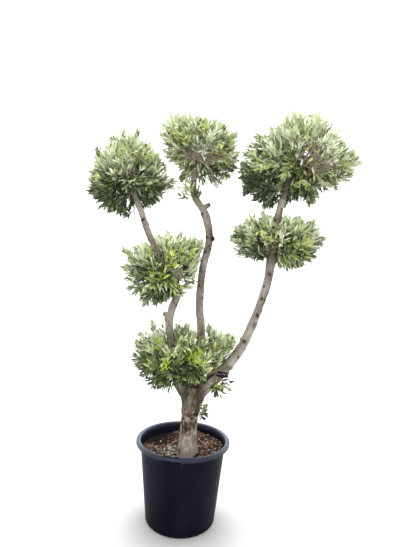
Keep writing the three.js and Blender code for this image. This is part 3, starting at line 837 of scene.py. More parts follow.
relief = np.zeros(len(places))
crack = np.zeros(len(places))
for i, (place, normal, near) in enumerate(zip(places, normals, nearest)):
    relief[i], crack[i] = bark_relief(place, normal, every_run[near], every_radius[near])
shade = np.zeros(len(places))
for knot, size in KNOTS:
    away = np.linalg.norm(places - np.array(knot), axis=1) / size
    relief += 0.18 * size * np.exp(-((away - 0.75) ** 2) * 4) - 0.10 * size * np.exp(-(away**2) * 5)
    shade += 0.45 * np.exp(-(away**2) * 1.6)
for end, size in stub_ends:
    away = np.linalg.norm(places - end, axis=1) / size
    shade += 0.36 * np.exp(-(away**2) * 1.4)

# Small buds and leaf scars dot the boughs, in a scatter that follows the wood.
SCARS_PER_BOUGH = 110
SCAR_SIZE = (0.0025, 0.010, 0.0035)
SCAR_HEIGHT_SHARE = 0.20
SCAR_DARKNESS = (0.2, 0.7)
scars = random.Random(88)
for name in ("right_bough", "left_bough", "middle_bough"):
    for _ in range(SCARS_PER_BOUGH):
        station = scars.randrange(20, LIMB_STATIONS - 12)
        outward = Vector([scars.gauss(0, 1) for _ in range(3)]).normalized()
        scar = limb_paths[name][station] + np.array(outward) * limb_radii[name][station]
        size = scars.triangular(*SCAR_SIZE)
        away = np.linalg.norm(places - scar, axis=1) / size
        relief += SCAR_HEIGHT_SHARE * size * np.exp(-(away**2) * 0.9)
        shade += scars.uniform(*SCAR_DARKNESS) * np.exp(-((away - 0.3) ** 2) * 1.6)

# The root flare swells in a few low ridges round the foot of the trunk.
ROOT_FLARE_TOP = 0.09
ROOT_FLARE_SWELL = 0.006
foot_height = np.clip(1 - (places[:, 2] - COMPOST_TOP) / ROOT_FLARE_TOP, 0, 1)
foot_angle = np.arctan2(places[:, 1] - TRUNK_FOOT.y, places[:, 0] - TRUNK_FOOT.x)
ridges = 0.4 + np.sin(3 * foot_angle + 0.6) * 0.5 + np.sin(5 * foot_angle) * 0.2
relief += foot_height**2 * ROOT_FLARE_SWELL * ridges
places += normals * relief[:, None]
places[:, 2] = np.maximum(places[:, 2], COMPOST_TOP - 0.006)
wood.data.vertices.foreach_set("co", places.astype(np.float32).ravel())
across, depth, height = places.T

# How dark the bark is at each height: pale at the foot, a dark band above it, fairly dark from there
# to the fork and pale again up the boughs.
TONES = [
    (0.36, 0.28), (0.44, 0.24), (0.495, 0.28), (0.515, 0.46), (0.535, 0.62), (0.566, 0.66),
    (0.572, 0.44), (0.600, 0.42), (0.630, 0.52), (0.660, 0.52), (0.74, 0.46), (0.80, 0.32),
    (0.92, 0.22), (1.1, 0.23), (1.5, 0.26), (1.9, 0.24),
]
BLOTCH_TONE = 0.34
CRACK_TONE = 0.40
FOOT_PATCH_TONE = 0.22


def patches(wide, high, shift=0):
    """A blotchy pattern over the bark, from about -1 to 1."""
    return np.array([noise.noise(Vector((x * wide, y * wide, z * high + shift))) for x, y, z in places])


def level(middle, half_height):
    """1 on the bark round a height and 0 well above and below it."""
    return np.exp(-(((height - middle) / half_height) ** 4))


shade += np.interp(height, *zip(*TONES))
foot_patches = patches(60, 44, 5)
above_foot = np.clip((height - 0.46) / 0.06, 0.2, 1)
shade += BLOTCH_TONE * patches(22, 12) * above_foot + CRACK_TONE * crack * above_foot
shade += FOOT_PATCH_TONE * foot_patches * (1 - above_foot)

# The old bark has come off in pale flakes above the dark band and in spots on it, and the right of
# the foot is darker.
FLAKED, FLAKED_TONE = (0.596, 0.028), 0.45
SPOTTED, SPOTTED_TONE = (0.532, 0.036), 0.40
FOOT_SIDE, FOOT_SIDE_TONE = (0.485, 0.030), 0.16
shade -= FLAKED_TONE * level(*FLAKED) * np.clip(patches(48, 62, 9) * 3, -0.6, 1)
shade -= SPOTTED_TONE * level(*SPOTTED) * np.clip(foot_patches * 2.5, -0.5, 1)
to_right = np.clip((across - TRUNK_FOOT.x - 0.012) / 0.02, 0, 1)
shade += FOOT_SIDE_TONE * to_right * np.exp(-(((height - FOOT_SIDE[0]) / FOOT_SIDE[1]) ** 2))

# An old wound has healed over, low on the front, with a pale rim.
WOUND = (0.022, 0.468)
WOUND_SIZE = (0.017, 0.030)
WOUND_TONE, WOUND_RIM_TONE = 0.08, 0.22
wound = np.stack([(across - WOUND[0]) / WOUND_SIZE[0], (height - WOUND[1]) / WOUND_SIZE[1]])
wound_away = np.linalg.norm(wound, axis=0) + 9 * (depth > TRUNK_FOOT.y)
wound_away += 0.5 * foot_patches
shade += WOUND_TONE * np.exp(-(wound_away**2) * 2) - WOUND_RIM_TONE * np.exp(-((wound_away - 1) ** 2) * 16)

# Painted light: the boughs are paler low on the left and right ones, high on the left one, and where
# the right one is bare between its two balls. Painted shade: the middle one is a little darker high up.
LEFT_LOW_PAINTED_LIGHT, LEFT_HIGH_PAINTED_LIGHT = 0.30, 0.26
RIGHT_LOW_PAINTED_LIGHT, RIGHT_BARE_PAINTED_LIGHT = 0.16, 0.34
MIDDLE_HIGH_PAINTED_SHADE = 0.04
RIGHT_BARE = (1.705, 0.055)
high_up = np.clip((height - 1.45) / 0.2, 0, 1)
shade -= LEFT_LOW_PAINTED_LIGHT * (across < -0.04) * (height > 0.85) * (height < 1.40)
shade -= RIGHT_LOW_PAINTED_LIGHT * (across > 0.11) * np.clip((1.1 - height) / 0.1, 0, 1)
shade += MIDDLE_HIGH_PAINTED_SHADE * high_up * (across > -0.12) * (across < 0.2)
shade -= LEFT_HIGH_PAINTED_LIGHT * high_up * (across < -0.12)
shade -= RIGHT_BARE_PAINTED_LIGHT * level(*RIGHT_BARE) * (across > 0.38)
# The tone holds the bark's own darkness together with this painted light and shade.
tone_with_painted_light = wood.data.attributes.new("tone_with_painted_light", "FLOAT", "POINT")
tone_with_painted_light.data.foreach_set("value", np.clip(shade, 0, 1).astype(np.float32))
wood.data.polygons.foreach_set("use_smooth", np.full(len(wood.data.polygons), True))
wood.data.update()

bark, tree, shader = new_material("olive_bark", 0.88, 0.22)
tone_here = shader_node(tree, "Attribute", {}, attribute_name="tone_with_painted_light").outputs["Fac"]
fleck = mottle(tree, surface_place(tree), 210.0, 6.0, 0.7)
flecked = shader_node(tree, "Math", {0: fleck, 1: 0.60, 2: tone_here}, operation="MULTIPLY_ADD")
evened = shader_node(tree, "Math", {0: flecked.outputs[0], 1: 0.30}, operation="SUBTRACT")
bark_colour = tinted(
    tree, evened.outputs[0], (0.0, paint(159, 150, 143)), (0.25, paint(130, 120, 110)),
    (0.5, paint(95, 85, 74)), (0.75, paint(61, 52, 42)), (1.0, paint(34, 28, 21)),
)
tree.links.new(bark_colour, shader.inputs["Base Color"])
roughen(tree, shader, fleck, 0.5, 0.0012)
wood.data.materials.clear()
wood.data.materials.append(bark)
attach(wood, "root")
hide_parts(*LIMBS)

# ==== The tie ===================================================================================
# A black soft-plastic strap, wrapped round the foot of the right bough when the tree was trained.
# It is pulled tight on itself, and its loose tail hangs in front, towards the fork.

TIE_ALONG = 0.135
TIE_WIDTH = 0.029
TIE_THICKNESS = 0.0024
TIE_SLACK = 0.0035
TIE_RIPPLE = 0.0006
TIE_STEPS = 72
TIE_TAIL = [(0.160, -0.108, 0.826), (0.136, -0.128, 0.818), (0.112, -0.142, 0.800), (0.094, -0.146, 0.780)]
TAIL_WIDTH_SHARE = 0.8
STRAP_SECTION = [
    (-0.5, -0.3), (-0.46, -0.5), (0.46, -0.5), (0.5, -0.3),
    (0.5, 0.3), (0.46, 0.5), (-0.46, 0.5), (-0.5, 0.3),
]


def strap(path, across, width, thickness):
    """Points and quads of a flat strap along a path. across is the way that its width lies."""
    path = np.asarray(path, float)
    across = np.tile(np.asarray(across, float), (len(path), 1))
    ways = np.gradient(path, axis=0)
    proud = np.cross(ways, across)
    proud /= np.linalg.norm(proud, axis=1, keepdims=True)
    rings = [path + across * (width * u) + proud * (thickness * v) for u, v in STRAP_SECTION]
    count = len(STRAP_SECTION)
    points = np.stack(rings, 1).reshape(-1, 3)
    ring = np.arange(count)
    after = (ring + 1) % count
    faces = [
        np.stack([i * count + ring, i * count + after, (i + 1) * count + after, (i + 1) * count + ring], 1)
        for i in range(len(path) - 1)
    ]
    return points, np.concatenate(faces)


tie_centre = limb_point("right_bough", TIE_ALONG)
tie_axis = limb_point("right_bough", TIE_ALONG + 0.02) - limb_point("right_bough", TIE_ALONG - 0.02)
tie_axis.normalize()
tie_side = tie_axis.cross(Vector((0, 1, 0))).normalized()
tie_out = tie_axis.cross(tie_side)
tie_radius = limb_radius("right_bough", TIE_ALONG) + TIE_SLACK
tie_level = (tie_axis + Vector((0.0, 0.0, 3.0))).normalized()
loop_path = []
for t in np.linspace(0, 2 * math.pi, TIE_STEPS + 1)[:-1]:
    around = (tie_side * math.cos(t) + tie_out * math.sin(t)) * (tie_radius + TIE_RIPPLE * math.sin(5 * t))
    loop_path.append(tie_centre + around - tie_axis * around.dot(tie_level) / tie_axis.dot(tie_level))
loop_path.append(loop_path[0])
loop_points, loop_faces = strap(loop_path, tie_level, TIE_WIDTH, TIE_THICKNESS)
tail_count = len(STRAP_SECTION)
loop_points = loop_points[:-tail_count]
loop_faces = loop_faces % len(loop_points)
tail_path = bend_curve(TIE_TAIL, 24)
tail_points, tail_faces = strap(tail_path, tie_level, TIE_WIDTH * TAIL_WIDTH_SHARE, TIE_THICKNESS)
tie_mesh = bpy.data.meshes.new("tie_strap")
tail_start = len(loop_points)
end_caps = [
    tuple(tail_start + i for i in range(tail_count)),
    tuple(tail_start + len(tail_points) - 1 - i for i in range(tail_count)),
]
tie_faces = [tuple(face) for face in loop_faces.tolist()]
tie_faces += [tuple(tail_start + i for i in face) for face in tail_faces.tolist()]
tie_mesh.from_pydata([*loop_points.tolist(), *tail_points.tolist()], [], tie_faces + end_caps)
tie_plastic, tree, shader = new_material("tie_plastic", 0.42, 0.12)
blend = mottle(tree, surface_place(tree), 120.0)
tie_black = tinted(tree, blend, (0.0, paint(10, 11, 20)), (1.0, paint(24, 25, 40)))
tree.links.new(tie_black, shader.inputs["Base Color"])
tie_mesh.materials.append(tie_plastic)
tie = bpy.data.objects.new("tie_strap", tie_mesh)
bpy.context.scene.collection.objects.link(tie)
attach(tie, "root")
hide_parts("tie_band")

# ==== The clipped balls =========================================================================
# Six balls of dense twigs and narrow evergreen leaves, clipped round with shears. Each grows from
# one stem: arms, then branches, then side twigs, then shoots that turn up towards the light and
# carry opposite pairs of leaves.

# The leaf colours, from shaded old growth to sunlit tips, then the yellow-green of young shoots and
# three colours of the undersides. From SHADED to PALE they are partly the leaves' own colours and
# partly painted light and shade.
leaf_finishes = [
    leafy("leaf_shaded", paint(44, 60, 38), 0.5, 0.22),
    leafy("leaf_green", paint(106, 123, 76), 0.5, 0.22),
    leafy("leaf_olive", paint(166, 180, 112), 0.5, 0.22),
    leafy("leaf_grey", paint(196, 205, 165), 0.55, 0.2),
    leafy("leaf_pale", paint(226, 232, 206), 0.6, 0.2),
    leafy("leaf_fresh", paint(164, 177, 98), 0.5, 0.22),
    leafy("leaf_new", paint(152, 171, 62), 0.5, 0.22),
    leafy("leaf_under_dim", paint(114, 124, 94), 0.7, 0.15),
    leafy("leaf_under_silver", paint(198, 206, 175), 0.7, 0.15),
    leafy("leaf_under_new", paint(166, 180, 92), 0.7, 0.15),
]
SHADED, GREEN, OLIVE, GREY, PALE, FRESH, NEW = range(7)
# The shaded and green leaves have the dim underside, as painted shade.
LEAF_UNDERSIDES = (7, 7, 8, 8, 8, 8, 9)

# Each ball has its centre, its half width and half depth, how far it rises above and drops below the
# centre, and round lobes: places from the centre, with a radius. "stem" is the limb that carries it
# and the share of that limb's length, and "lift" is how strongly its shoots turn up. "shoots" are
# thin leaders that have grown past the clipped outline since it was last cut, and "sprays" are
# fuller tips that stand out of it. "gaps", "tangles" of bare twigs and "bursts" of young growth are
# as seen from the front, in the plane of the centre. "shows" lists the stretches of limb that are
# seen through the leaves, and "dead" the dead twigs by their two ends. "young" is the colour of the
# new shoots. "light" is how much painted light the leaf colours get at the ball's foot and at its
# top, and "side" how much more they get on its right.
CLOUDS = [
    {
        "node": "cloud_bottom", "centre": (-0.011, -0.1, 0.895), "half": (0.231, 0.206), "rise": 0.144,
        "drop": 0.134, "stem": ("left_bough", 0.2), "lift": 1.5,
        "lobes": [
            (-0.122, -0.01, -0.016, 0.138), (0.12, 0, 0.021, 0.137), (-0.07, -0.041, -0.03, 0.124),
            (-0.15, 0, 0.045, 0.102),
        ],
        "shoots": [
            (-0.188, 0, 0.213), (-0.178, 0, 0.19), (-0.184, 0, 0.165), (-0.228, 0, 0.108),
            (-0.07, 0.03, 0.186), (0.004, -0.04, 0.193), (0.117, 0.02, 0.197), (0.228, -0.01, 0.135),
        ],
        "sprays": [
            (-0.241, 0, 0.115), (-0.12, -0.02, 0.165), (-0.039, -0.02, 0.16), (0.13, 0, 0.168),
            (0.178, 0, 0.125), (0.25, -0.02, 0.118), (0.262, -0.02, 0.085), (0.215, -0.04, 0.085),
            (-0.252, 0, 0.078), (-0.246, 0, 0.05), (-0.225, 0, -0.105), (-0.165, -0.02, -0.145),
            (-0.268, 0, -0.002), (-0.258, 0, -0.026), (0.24, -0.08, 0.122), (0.085, 0, 0.165),
            (-0.05, 0, 0.168), (0.008, 0, 0.168), (0.248, 0, 0.116),
        ],
        "young": NEW, "gaps": [(-0.055, -0.111, 0.01)],
        "tangles": [],
        "bursts": [(0.075, -0.01, 0.028), (-0.099, -0.046, 0.022)],
        "shows": [("left_bough", 0.26, 0.45), ("right_bough", 0.1, 0.34), ("middle_bough", 0.24, 0.4)],
        "dead": [
            ((0.279, -0.075, 0.975), (0.226, -0.11, 0.962)),
            ((0.232, -0.085, 0.925), (0.215, -0.1, 0.915)),
        ],
        "light": (0.23, 0.64),
    },
    {
        "node": "cloud_mid_left", "centre": (-0.14, -0.1, 1.353), "half": (0.172, 0.167), "rise": 0.186,
        "drop": 0.16, "stem": ("left_bough", 0.56), "lift": 1.0,
        "lobes": [
            (-0.095, -0.01, -0.036, 0.096), (0.1, 0.03, 0.05, 0.128), (-0.042, 0, -0.073, 0.122),
            (-0.095, -0.01, 0.05, 0.077), (0.14, 0.06, -0.04, 0.08),
        ],
        "shoots": [(-0.196, -0.02, 0.096), (0.02, -0.01, 0.196)],
        "sprays": [
            (0.198, 0.02, 0.15), (0.192, 0.02, 0.11), (0.184, 0.03, 0.07), (0.179, 0.03, 0.03),
            (0.175, 0.03, -0.01), (0.172, 0.03, -0.05), (0.17, 0.03, -0.1), (0.18, 0.02, 0.155),
            (0.16, 0.01, 0.165), (0.21, 0.17, 0.13), (0.205, 0.16, 0.06), (0.195, 0.15, -0.01),
            (0.19, 0.14, -0.07), (0.132, 0, -0.1), (0.106, 0, -0.142), (0.085, 0, 0.183),
            (0.018, 0, 0.18), (-0.214, 0, 0.09), (-0.095, 0, -0.2), (-0.039, 0, -0.19),
            (-0.186, 0, -0.118), (-0.208, 0, 0.004), (-0.196, 0, -0.062), (-0.16, 0, 0.1),
        ],
        "young": NEW, "gaps": [(0.097, -0.071, 0.021), (-0.107, -0.079, 0.013)],
        "tangles": [(0.092, -0.018, 0.032, 0.034)],
        "bursts": [
            (0.041, 0.072, 0.05), (0.062, 0.01, 0.034), (-0.057, -0.046, 0.03), (0.14, 0.067, 0.034),
        ],
        "shows": [("left_bough", 0.66, 0.8), ("middle_bough", 0.44, 0.66)],
        "light": (0.4, 0.88),
    },
    {
        "node": "cloud_mid_right", "centre": (0.467, -0.03, 1.523), "half": (0.21, 0.2), "rise": 0.14,
        "drop": 0.116, "stem": ("right_bough", 0.73), "lift": 0.9,
        "lobes": [(-0.148, 0, 0.006, 0.118), (0.15, 0.011, 0.006, 0.11), (0.06, -0.011, -0.03, 0.128)],
        "shoots": [(-0.1, 0, 0.172), (0.112, 0.01, 0.152), (-0.264, 0, 0.022)],
        "sprays": [
            (-0.262, 0, 0.01), (-0.245, 0, 0.065), (-0.218, 0, -0.084), (-0.173, 0, -0.095),
            (0.205, 0, -0.075), (0.25, 0, 0.025), (0.186, 0, 0.122), (-0.1, 0, 0.14), (-0.245, 0, 0.04),
        ],
        "young": FRESH, "gaps": [(-0.171, -0.051, 0.008)],
        "tangles": [],
        "bursts": [(0.096, -0.012, 0.028), (0.139, -0.005, 0.028), (-0.084, 0.033, 0.024)],
        "shows": [("right_bough", 0.56, 0.7), ("right_bough", 0.815, 0.9)],
        "light": (0.34, 0.8),
    },
    {
        "node": "cloud_top_left", "centre": (-0.348, 0, 1.839), "half": (0.178, 0.178), "rise": 0.228,
        "drop": 0.165, "stem": ("left_bough", 1), "lift": 0.9,
        "lobes": [
            (-0.078, -0.021, -0.09, 0.133), (0.07, 0.011, -0.046, 0.126), (-0.095, -0.01, 0.02, 0.11),
            (0.15, 0, -0.024, 0.086),
        ],
        "shoots": [(-0.198, 0, 0.142)],
        "sprays": [
            (0.252, 0, -0.026), (0.242, 0, -0.048), (0.188, 0, 0.07), (0.15, 0, 0.12),
            (-0.032, 0, -0.225), (-0.188, 0, 0.15), (-0.222, 0, -0.04), (-0.21, 0, -0.08),
            (-0.195, 0, -0.112), (0.165, 0, 0.09), (-0.043, 0, 0.236), (-0.1, 0, 0.208),
            (0.03, 0, 0.228), (-0.216, 0, 0.01), (-0.19, 0, -0.125),
        ],
        "young": FRESH,
        "gaps": [
            (-0.087, -0.088, 0.009), (-0.066, -0.087, 0.008), (-0.006, -0.111, 0.01),
            (-0.004, -0.143, 0.012),
        ],
        "tangles": [(0.01, 0.005, 0.036, 0.02)],
        "bursts": [
            (-0.027, 0.14, 0.036), (0.092, 0.109, 0.05), (0.005, 0.013, 0.022), (-0.176, -0.017, 0.024),
        ],
        "shows": [("left_bough", 0.84, 0.965)],
        "light": (0.02, 1.28),
    },
    {
        "node": "cloud_top_middle", "centre": (0.026, 0.12, 2.043), "half": (0.197, 0.187),
        "rise": 0.18, "drop": 0.16, "stem": ("middle_bough", 1), "lift": 0.9,
        "lobes": [
            (-0.105, -0.011, 0.062, 0.134), (0.1, 0, 0.048, 0.114), (0.095, -0.021, -0.085, 0.122),
            (-0.09, 0, -0.02, 0.118), (0.13, 0, -0.02, 0.092),
        ],
        "shoots": [(0.148, 0.01, 0.178), (-0.137, 0, 0.2)],
        "sprays": [
            (0.218, 0, -0.025), (0.218, 0, -0.06), (0.204, 0, -0.105), (0.188, 0, -0.132),
            (0.17, 0, -0.15), (0.11, 0, -0.215), (0.03, 0, -0.205), (-0.105, 0, -0.15),
            (-0.085, 0, -0.185), (-0.112, 0, -0.196), (-0.1, -0.03, -0.205), (-0.195, 0, -0.07),
            (0.198, 0, 0.09), (-0.222, 0, 0.108),
        ],
        "young": FRESH, "gaps": [(0.05, -0.057, 0.012), (0.126, -0.087, 0.009)],
        "tangles": [(-0.07, -0.08, 0.095, 0.065), (0.055, -0.12, 0.075, 0.045)],
        "bursts": [
            (-0.08, 0.05, 0.045), (0.11, 0.014, 0.045), (-0.144, 0.08, 0.026), (0.019, 0.117, 0.026),
        ],
        "shows": [("middle_bough", 0.84, 0.93)],
        "light": (0.42, 1.5),
    },
    {
        "node": "cloud_top_right", "centre": (0.577, 0.03, 1.987), "half": (0.218, 0.224), "rise": 0.25,
        "drop": 0.215, "stem": ("right_bough", 1), "lift": 0.9,
        "lobes": [
            (-0.172, -0.011, -0.078, 0.16), (0.069, 0.021, 0.066, 0.156),
            (-0.162, -0.011, -0.124, 0.158), (0.196, 0.011, -0.024, 0.129), (0.062, 0, -0.17, 0.078),
            (-0.212, 0, 0.07, 0.072), (-0.11, 0, 0.064, 0.098), (-0.084, 0, -0.16, 0.104),
        ],
        "shoots": [(0.044, 0.01, 0.271), (-0.05, 0, 0.262), (0.333, 0, 0.034)],
        "sprays": [
            (0.318, 0, -0.002), (0.061, 0, -0.25), (-0.3, 0, -0.21), (-0.235, 0, -0.245),
            (-0.322, 0, 0.012), (-0.29, 0, 0.055), (-0.266, 0, 0.118), (0.204, 0, 0.14),
            (-0.32, 0, -0.145), (-0.312, 0, -0.17), (-0.29, 0, -0.15), (-0.275, 0, -0.19),
            (0.31, 0, 0.04), (-0.336, 0, -0.048), (-0.336, 0, -0.085), (-0.336, 0, -0.122),
            (0.15, 0, -0.15), (0.22, 0, -0.13), (-0.252, 0, -0.238), (-0.165, 0, -0.255),
            (-0.076, 0, -0.262), (-0.058, 0, -0.246), (0.08, 0, -0.248), (0.088, 0, -0.232),
            (0.258, 0, -0.112), (0.288, 0, -0.082), (0.236, 0, 0.098),
        ],
        "young": FRESH,
        "gaps": [(0.008, 0.024, 0.017), (0.038, 0.03, 0.014), (0.15, 0.01, 0.012), (0.1, -0.05, 0.01)],
        "tangles": [(0.04, -0.01, 0.075, 0.045), (0.122, -0.084, 0.105, 0.062)],
        "bursts": [
            (0.056, 0.0, 0.022), (-0.019, -0.143, 0.022), (0.047, -0.134, 0.03), (0.029, 0.117, 0.028),
            (0.246, -0.014, 0.05), (-0.189, -0.058, 0.02),
        ],
        "shows": [("right_bough", 0.9, 0.985)],
        "light": (0.2, 1.3), "side": 0.16,
    },
]
GOLDEN_ANGLE = math.pi * (3 - math.sqrt(5))
HUB_SHARE_AT_END, HUB_SHARE_BESIDE = 0.55, 0.3
STEM_SHARE_AT_END, STEM_SHARE_BESIDE = 0.95, 0.5
STEM_TAPER = 0.7
# Arms, branches and side twigs: how many, how far out as a share of the outline, radius and sides.
WOOD_ORDERS = [(9, 0.34, 0.0060, 6), (42, 0.54, 0.0036, 4), (150, 0.70, 0.0021, 3)]
WOOD_TAPER = 0.8
SHOOT_RADII = (0.0018, 0.0009)
INNER_SHOOTS, INNER_REACH, INNER_LEAFED = 130, (0.68, 0.84), 0.05
CLUMP_SPACING = 0.060
CLUMP_SHOOTS = 3
CLUMP_FULLNESS = (0.84, 1.06, 1.02)
SHOOT_LEAFED = (0.065, 0.105)
BURST_SIZE = 1.04
STAR_SHOOTS, STAR_LEAFED, STAR_SIZE = 3, 0.036, 0.95
LEADER_SIZE, LEADER_STEP, LEADER_LEAFED = 0.80, 0.014, 0.13
SPRAY_SHOOTS, SPRAY_LEAFED, SPRAY_SIZE = 4, 0.075, 0.9
DEAD_RADII, DEAD_LEAFED, DEAD_SIZE = (0.0024, 0.0012), 0.015, 0.6
TANGLE_RADII, TANGLE_REACH = (0.0022, 0.0011), (0.74, 0.96)
TANGLE_TWIGS = 120
TANGLE_TWIGS_PER_AREA = 36000
TANGLE_BARE_SHARE = 0.80
LEAF_LENGTH = (0.046, 0.062)
LEAF_WIDTH = (0.0100, 0.0134)
LEAF_STEP = 0.0185
LEAF_SPREAD = 0.66
LEAF_OVERHANG = 1.09
FREE_TIP_RADIUS = 0.11
# The bands and loose patches of painted light that deal the leaf colours.
PAINTED_LIGHT_BANDS = (0.22, 0.42, 0.62, 0.84)
PAINTED_LIGHT_PATCH, PAINTED_LIGHT_PATCH_SCALE = 0.30, 13
YOUNG_SHARE = 0.05
WOOD_CLEARANCE = 0.004
SHOWS_MARGIN = 0.004

twig_finishes = [
    earthy("twig_old", paint(130, 118, 100), paint(202, 190, 172), 220.0),
    earthy("twig_young", paint(132, 130, 92), paint(164, 160, 118), 220.0),
]


def outline_reach(cloud, ways):
    """How far a ball's clipped outline is from its centre along unit directions."""
    ways = np.atleast_2d(np.array(ways, float))
    upright = np.where(ways[:, 2] > 0, cloud["rise"], cloud["drop"])
    wide, deep = cloud["half"]
    reach = 1 / np.sqrt((ways[:, 0] / wide) ** 2 + (ways[:, 1] / deep) ** 2 + (ways[:, 2] / upright) ** 2)
    for x, y, z, radius in cloud["lobes"]:
        lobe = np.array((x, y, z))
        along = ways @ lobe
        inside = radius**2 - lobe @ lobe + along**2
        exit_reach = along + np.sqrt(np.maximum(inside, 0))
        reach = np.where(inside > 0, np.maximum(reach, exit_reach), reach)
    return reach


def golden_ways(count):
    """Directions spread evenly all round, each turned by the golden angle from the last."""
    ways = []
    for i in range(count):
        height = 1 - 2 * (i + 0.5) / count
        ring = math.sqrt(1 - height * height)
        ways.append(Vector((ring * math.cos(i * GOLDEN_ANGLE), ring * math.sin(i * GOLDEN_ANGLE), height)))
    return ways


def jitter(chance, amount):
    """A small random offset, alike in every direction."""
    return Vector([chance.gauss(0, amount) for _ in range(3)])


wood_centres = np.concatenate([limb_paths[name][::4] for name in LIMBS])
wood_radii = np.concatenate([limb_radii[name][::4] for name in LIMBS])


def clear_of_wood(points):
    """Which points are outside the bark of every limb."""
    points = np.atleast_2d(np.array(points, float))
    apart = np.linalg.norm(points[:, None] - wood_centres[None], axis=2) - wood_radii[None]
    return apart.min(axis=1) > WOOD_CLEARANCE


def seen_on(points, depth):
    """Where points are seen against an upright plane at a depth, as (across, up)."""
    points = np.atleast_2d(np.array(points, float))
    eye = np.array((0.0, VIEW_HEIGHT))
    scale = (depth + VIEW_DISTANCE) / (points[:, 1] + VIEW_DISTANCE)
    return eye + (points[:, [0, 2]] - eye) * scale[:, None]


def seen_within(cloud, points, across, up, half_wide, half_high):
    """Which points are seen inside an ellipse that is placed from the ball's centre."""
    middle = (cloud["centre"][0] + across, cloud["centre"][2] + up)
    seen = seen_on(points, cloud["centre"][1]) - np.array(middle)
    return (seen[:, 0] / half_wide) ** 2 + (seen[:, 1] / half_high) ** 2 < 1


def in_gap(cloud, points):
    """Which points would close one of the gaps that the sky shows through."""
    closed = np.zeros(len(points), bool)
    for across, up, radius in cloud["gaps"]:
        closed |= seen_within(cloud, points, across, up, radius, radius)
    return closed


def hides_bough(cloud, points):
    """Which points are in front of a stretch of bough that shows through the leaves."""
    hidden = np.zeros(len(points), bool)
    for name, start, end in cloud["shows"]:
        stations = range(round(start * LIMB_STATIONS), round(end * LIMB_STATIONS) + 1, 3)
        for station in stations:
            centre = limb_paths[name][station]
            seen = seen_on(points, centre[1]) - centre[[0, 2]]
            near = np.linalg.norm(seen, axis=1) < limb_radii[name][station] + SHOWS_MARGIN
            hidden |= near & (points[:, 1] < centre[1])
    return hidden


def front_place(cloud, across, up):
    """Where a ball's outline faces the viewer at a place that is given from the ball's centre."""
    centre = Vector(cloud["centre"])
    eye = Vector((0, -VIEW_DISTANCE, VIEW_HEIGHT))
    line = [(centre + Vector((across, 0, up))).lerp(eye, share) for share in np.linspace(0.01, 0.15, 43)]
    offsets = [place - centre for place in line]
    spare = [abs(outline_reach(cloud, offset.normalized())[0] - offset.length) for offset in offsets]
    return line[spare.index(min(spare))]


def bowed(start, control, end, steps):
    """A curved line from start to end that is drawn towards a control point."""
    path = []
    for i in range(steps + 1):
        t = i / steps
        path.append(start * (1 - t) ** 2 + control * 2 * t * (1 - t) + end * t**2)
    return path


class TwigMesh:
    """Collects thin tapered tubes into one mesh."""

    def __init__(self):
        self.points, self.faces, self.kinds, self.count = [], [], [], 0

    def add(self, path, foot_radius, tip_radius, sides, kind):
        """Adds a tube along a path. kind is the number of its finish."""
        radii = np.linspace(foot_radius, tip_radius, len(path))
        points, faces = tube([tuple(p) for p in path], radii, sides)
        triangles = np.concatenate([faces[:, [0, 1, 2]], faces[:, [0, 2, 3]]])
        proper = (triangles[:, 0] != triangles[:, 1]) & (triangles[:, 1] != triangles[:, 2])
        triangles = triangles[proper & (triangles[:, 0] != triangles[:, 2])]
        self.points.append(points)
        self.faces.append(triangles + self.count)
        self.kinds += [kind] * len(triangles)
        self.count += len(points)

    def piece(self, name):
        """All the tubes so far as one object."""
        faces = np.concatenate(self.faces)
        return mesh_piece(name, np.concatenate(self.points), faces, twig_finishes, self.kinds, smooth=True)


def leaf_pairs(leaves, path, leafed, chance, deal, size, sunward, step=LEAF_STEP):
    """Opposite pairs of leaves down a shoot from its tip, each pair at right angles to the last."""
    steps = [(b - a).length for a, b in zip(path, path[1:])]
    pairs = max(2, round(leafed / step))
    side = None
    for pair in range(pairs + 1):
        back = pair / pairs
        rest = min(leafed * back, sum(steps) * 0.97)
        joint = len(steps) - 1
        while rest > steps[joint] and joint > 0:
            rest -= steps[joint]
            joint -= 1
        axis = (path[joint + 1] - path[joint]).normalized()
        base = path[joint + 1] - axis * rest
        if side is None:
            side = (jitter(chance, 1.0).cross(axis)).normalized()
        else:
            side = axis.cross(side).normalized()
        spread_here = LEAF_SPREAD * (0.45 + 0.55 * min(1, back * 3))
        length_here = (0.72 + 0.28 * min(1, back * 4)) * (1 - 0.15 * max(0, back - 0.7))
        for hand in (-1, 1):
            spread = spread_here * chance.uniform(0.7, 1.25)
            way = axis * math.cos(spread) + side * (hand * math.sin(spread)) + jitter(chance, 0.10)
            way.normalize()
            facing = (axis - way * axis.dot(way)) * 0.8 + sunward * 0.8 + jitter(chance, 0.30)
            long = chance.uniform(*LEAF_LENGTH) * length_here * size
            leaves.append((base, way, facing, long, chance.uniform(*LEAF_WIDTH) * size, deal(back)))


def place_colour(cloud, offset, chance):
    """Deals one spray its colour: painted light and shade, pale on the sunlit dome, dark underneath,
    in loose patches.

    The colours from SHADED to PALE are numbered as the bands of painted light that they are dealt in."""
    upright = cloud["rise"] if offset.z > 0 else cloud["drop"]
    low, high = cloud["light"]
    dome = min(1.0, max(0.0, 0.5 + 0.55 * offset.z / upright))
    patch = PAINTED_LIGHT_PATCH * noise.noise((Vector(cloud["centre"]) + offset) * PAINTED_LIGHT_PATCH_SCALE)
    # The painted light: more towards the top and on the right, in loose patches, with a random spread.
    painted_light = low + (high - low) * dome + patch + chance.gauss(0, 0.10)
    painted_light += cloud.get("side", 0) * offset.x / cloud["half"][0]
    if chance.random() < YOUNG_SHARE * (offset.z > -0.04):
        return cloud["young"]
    return sum(painted_light > band for band in PAINTED_LIGHT_BANDS)


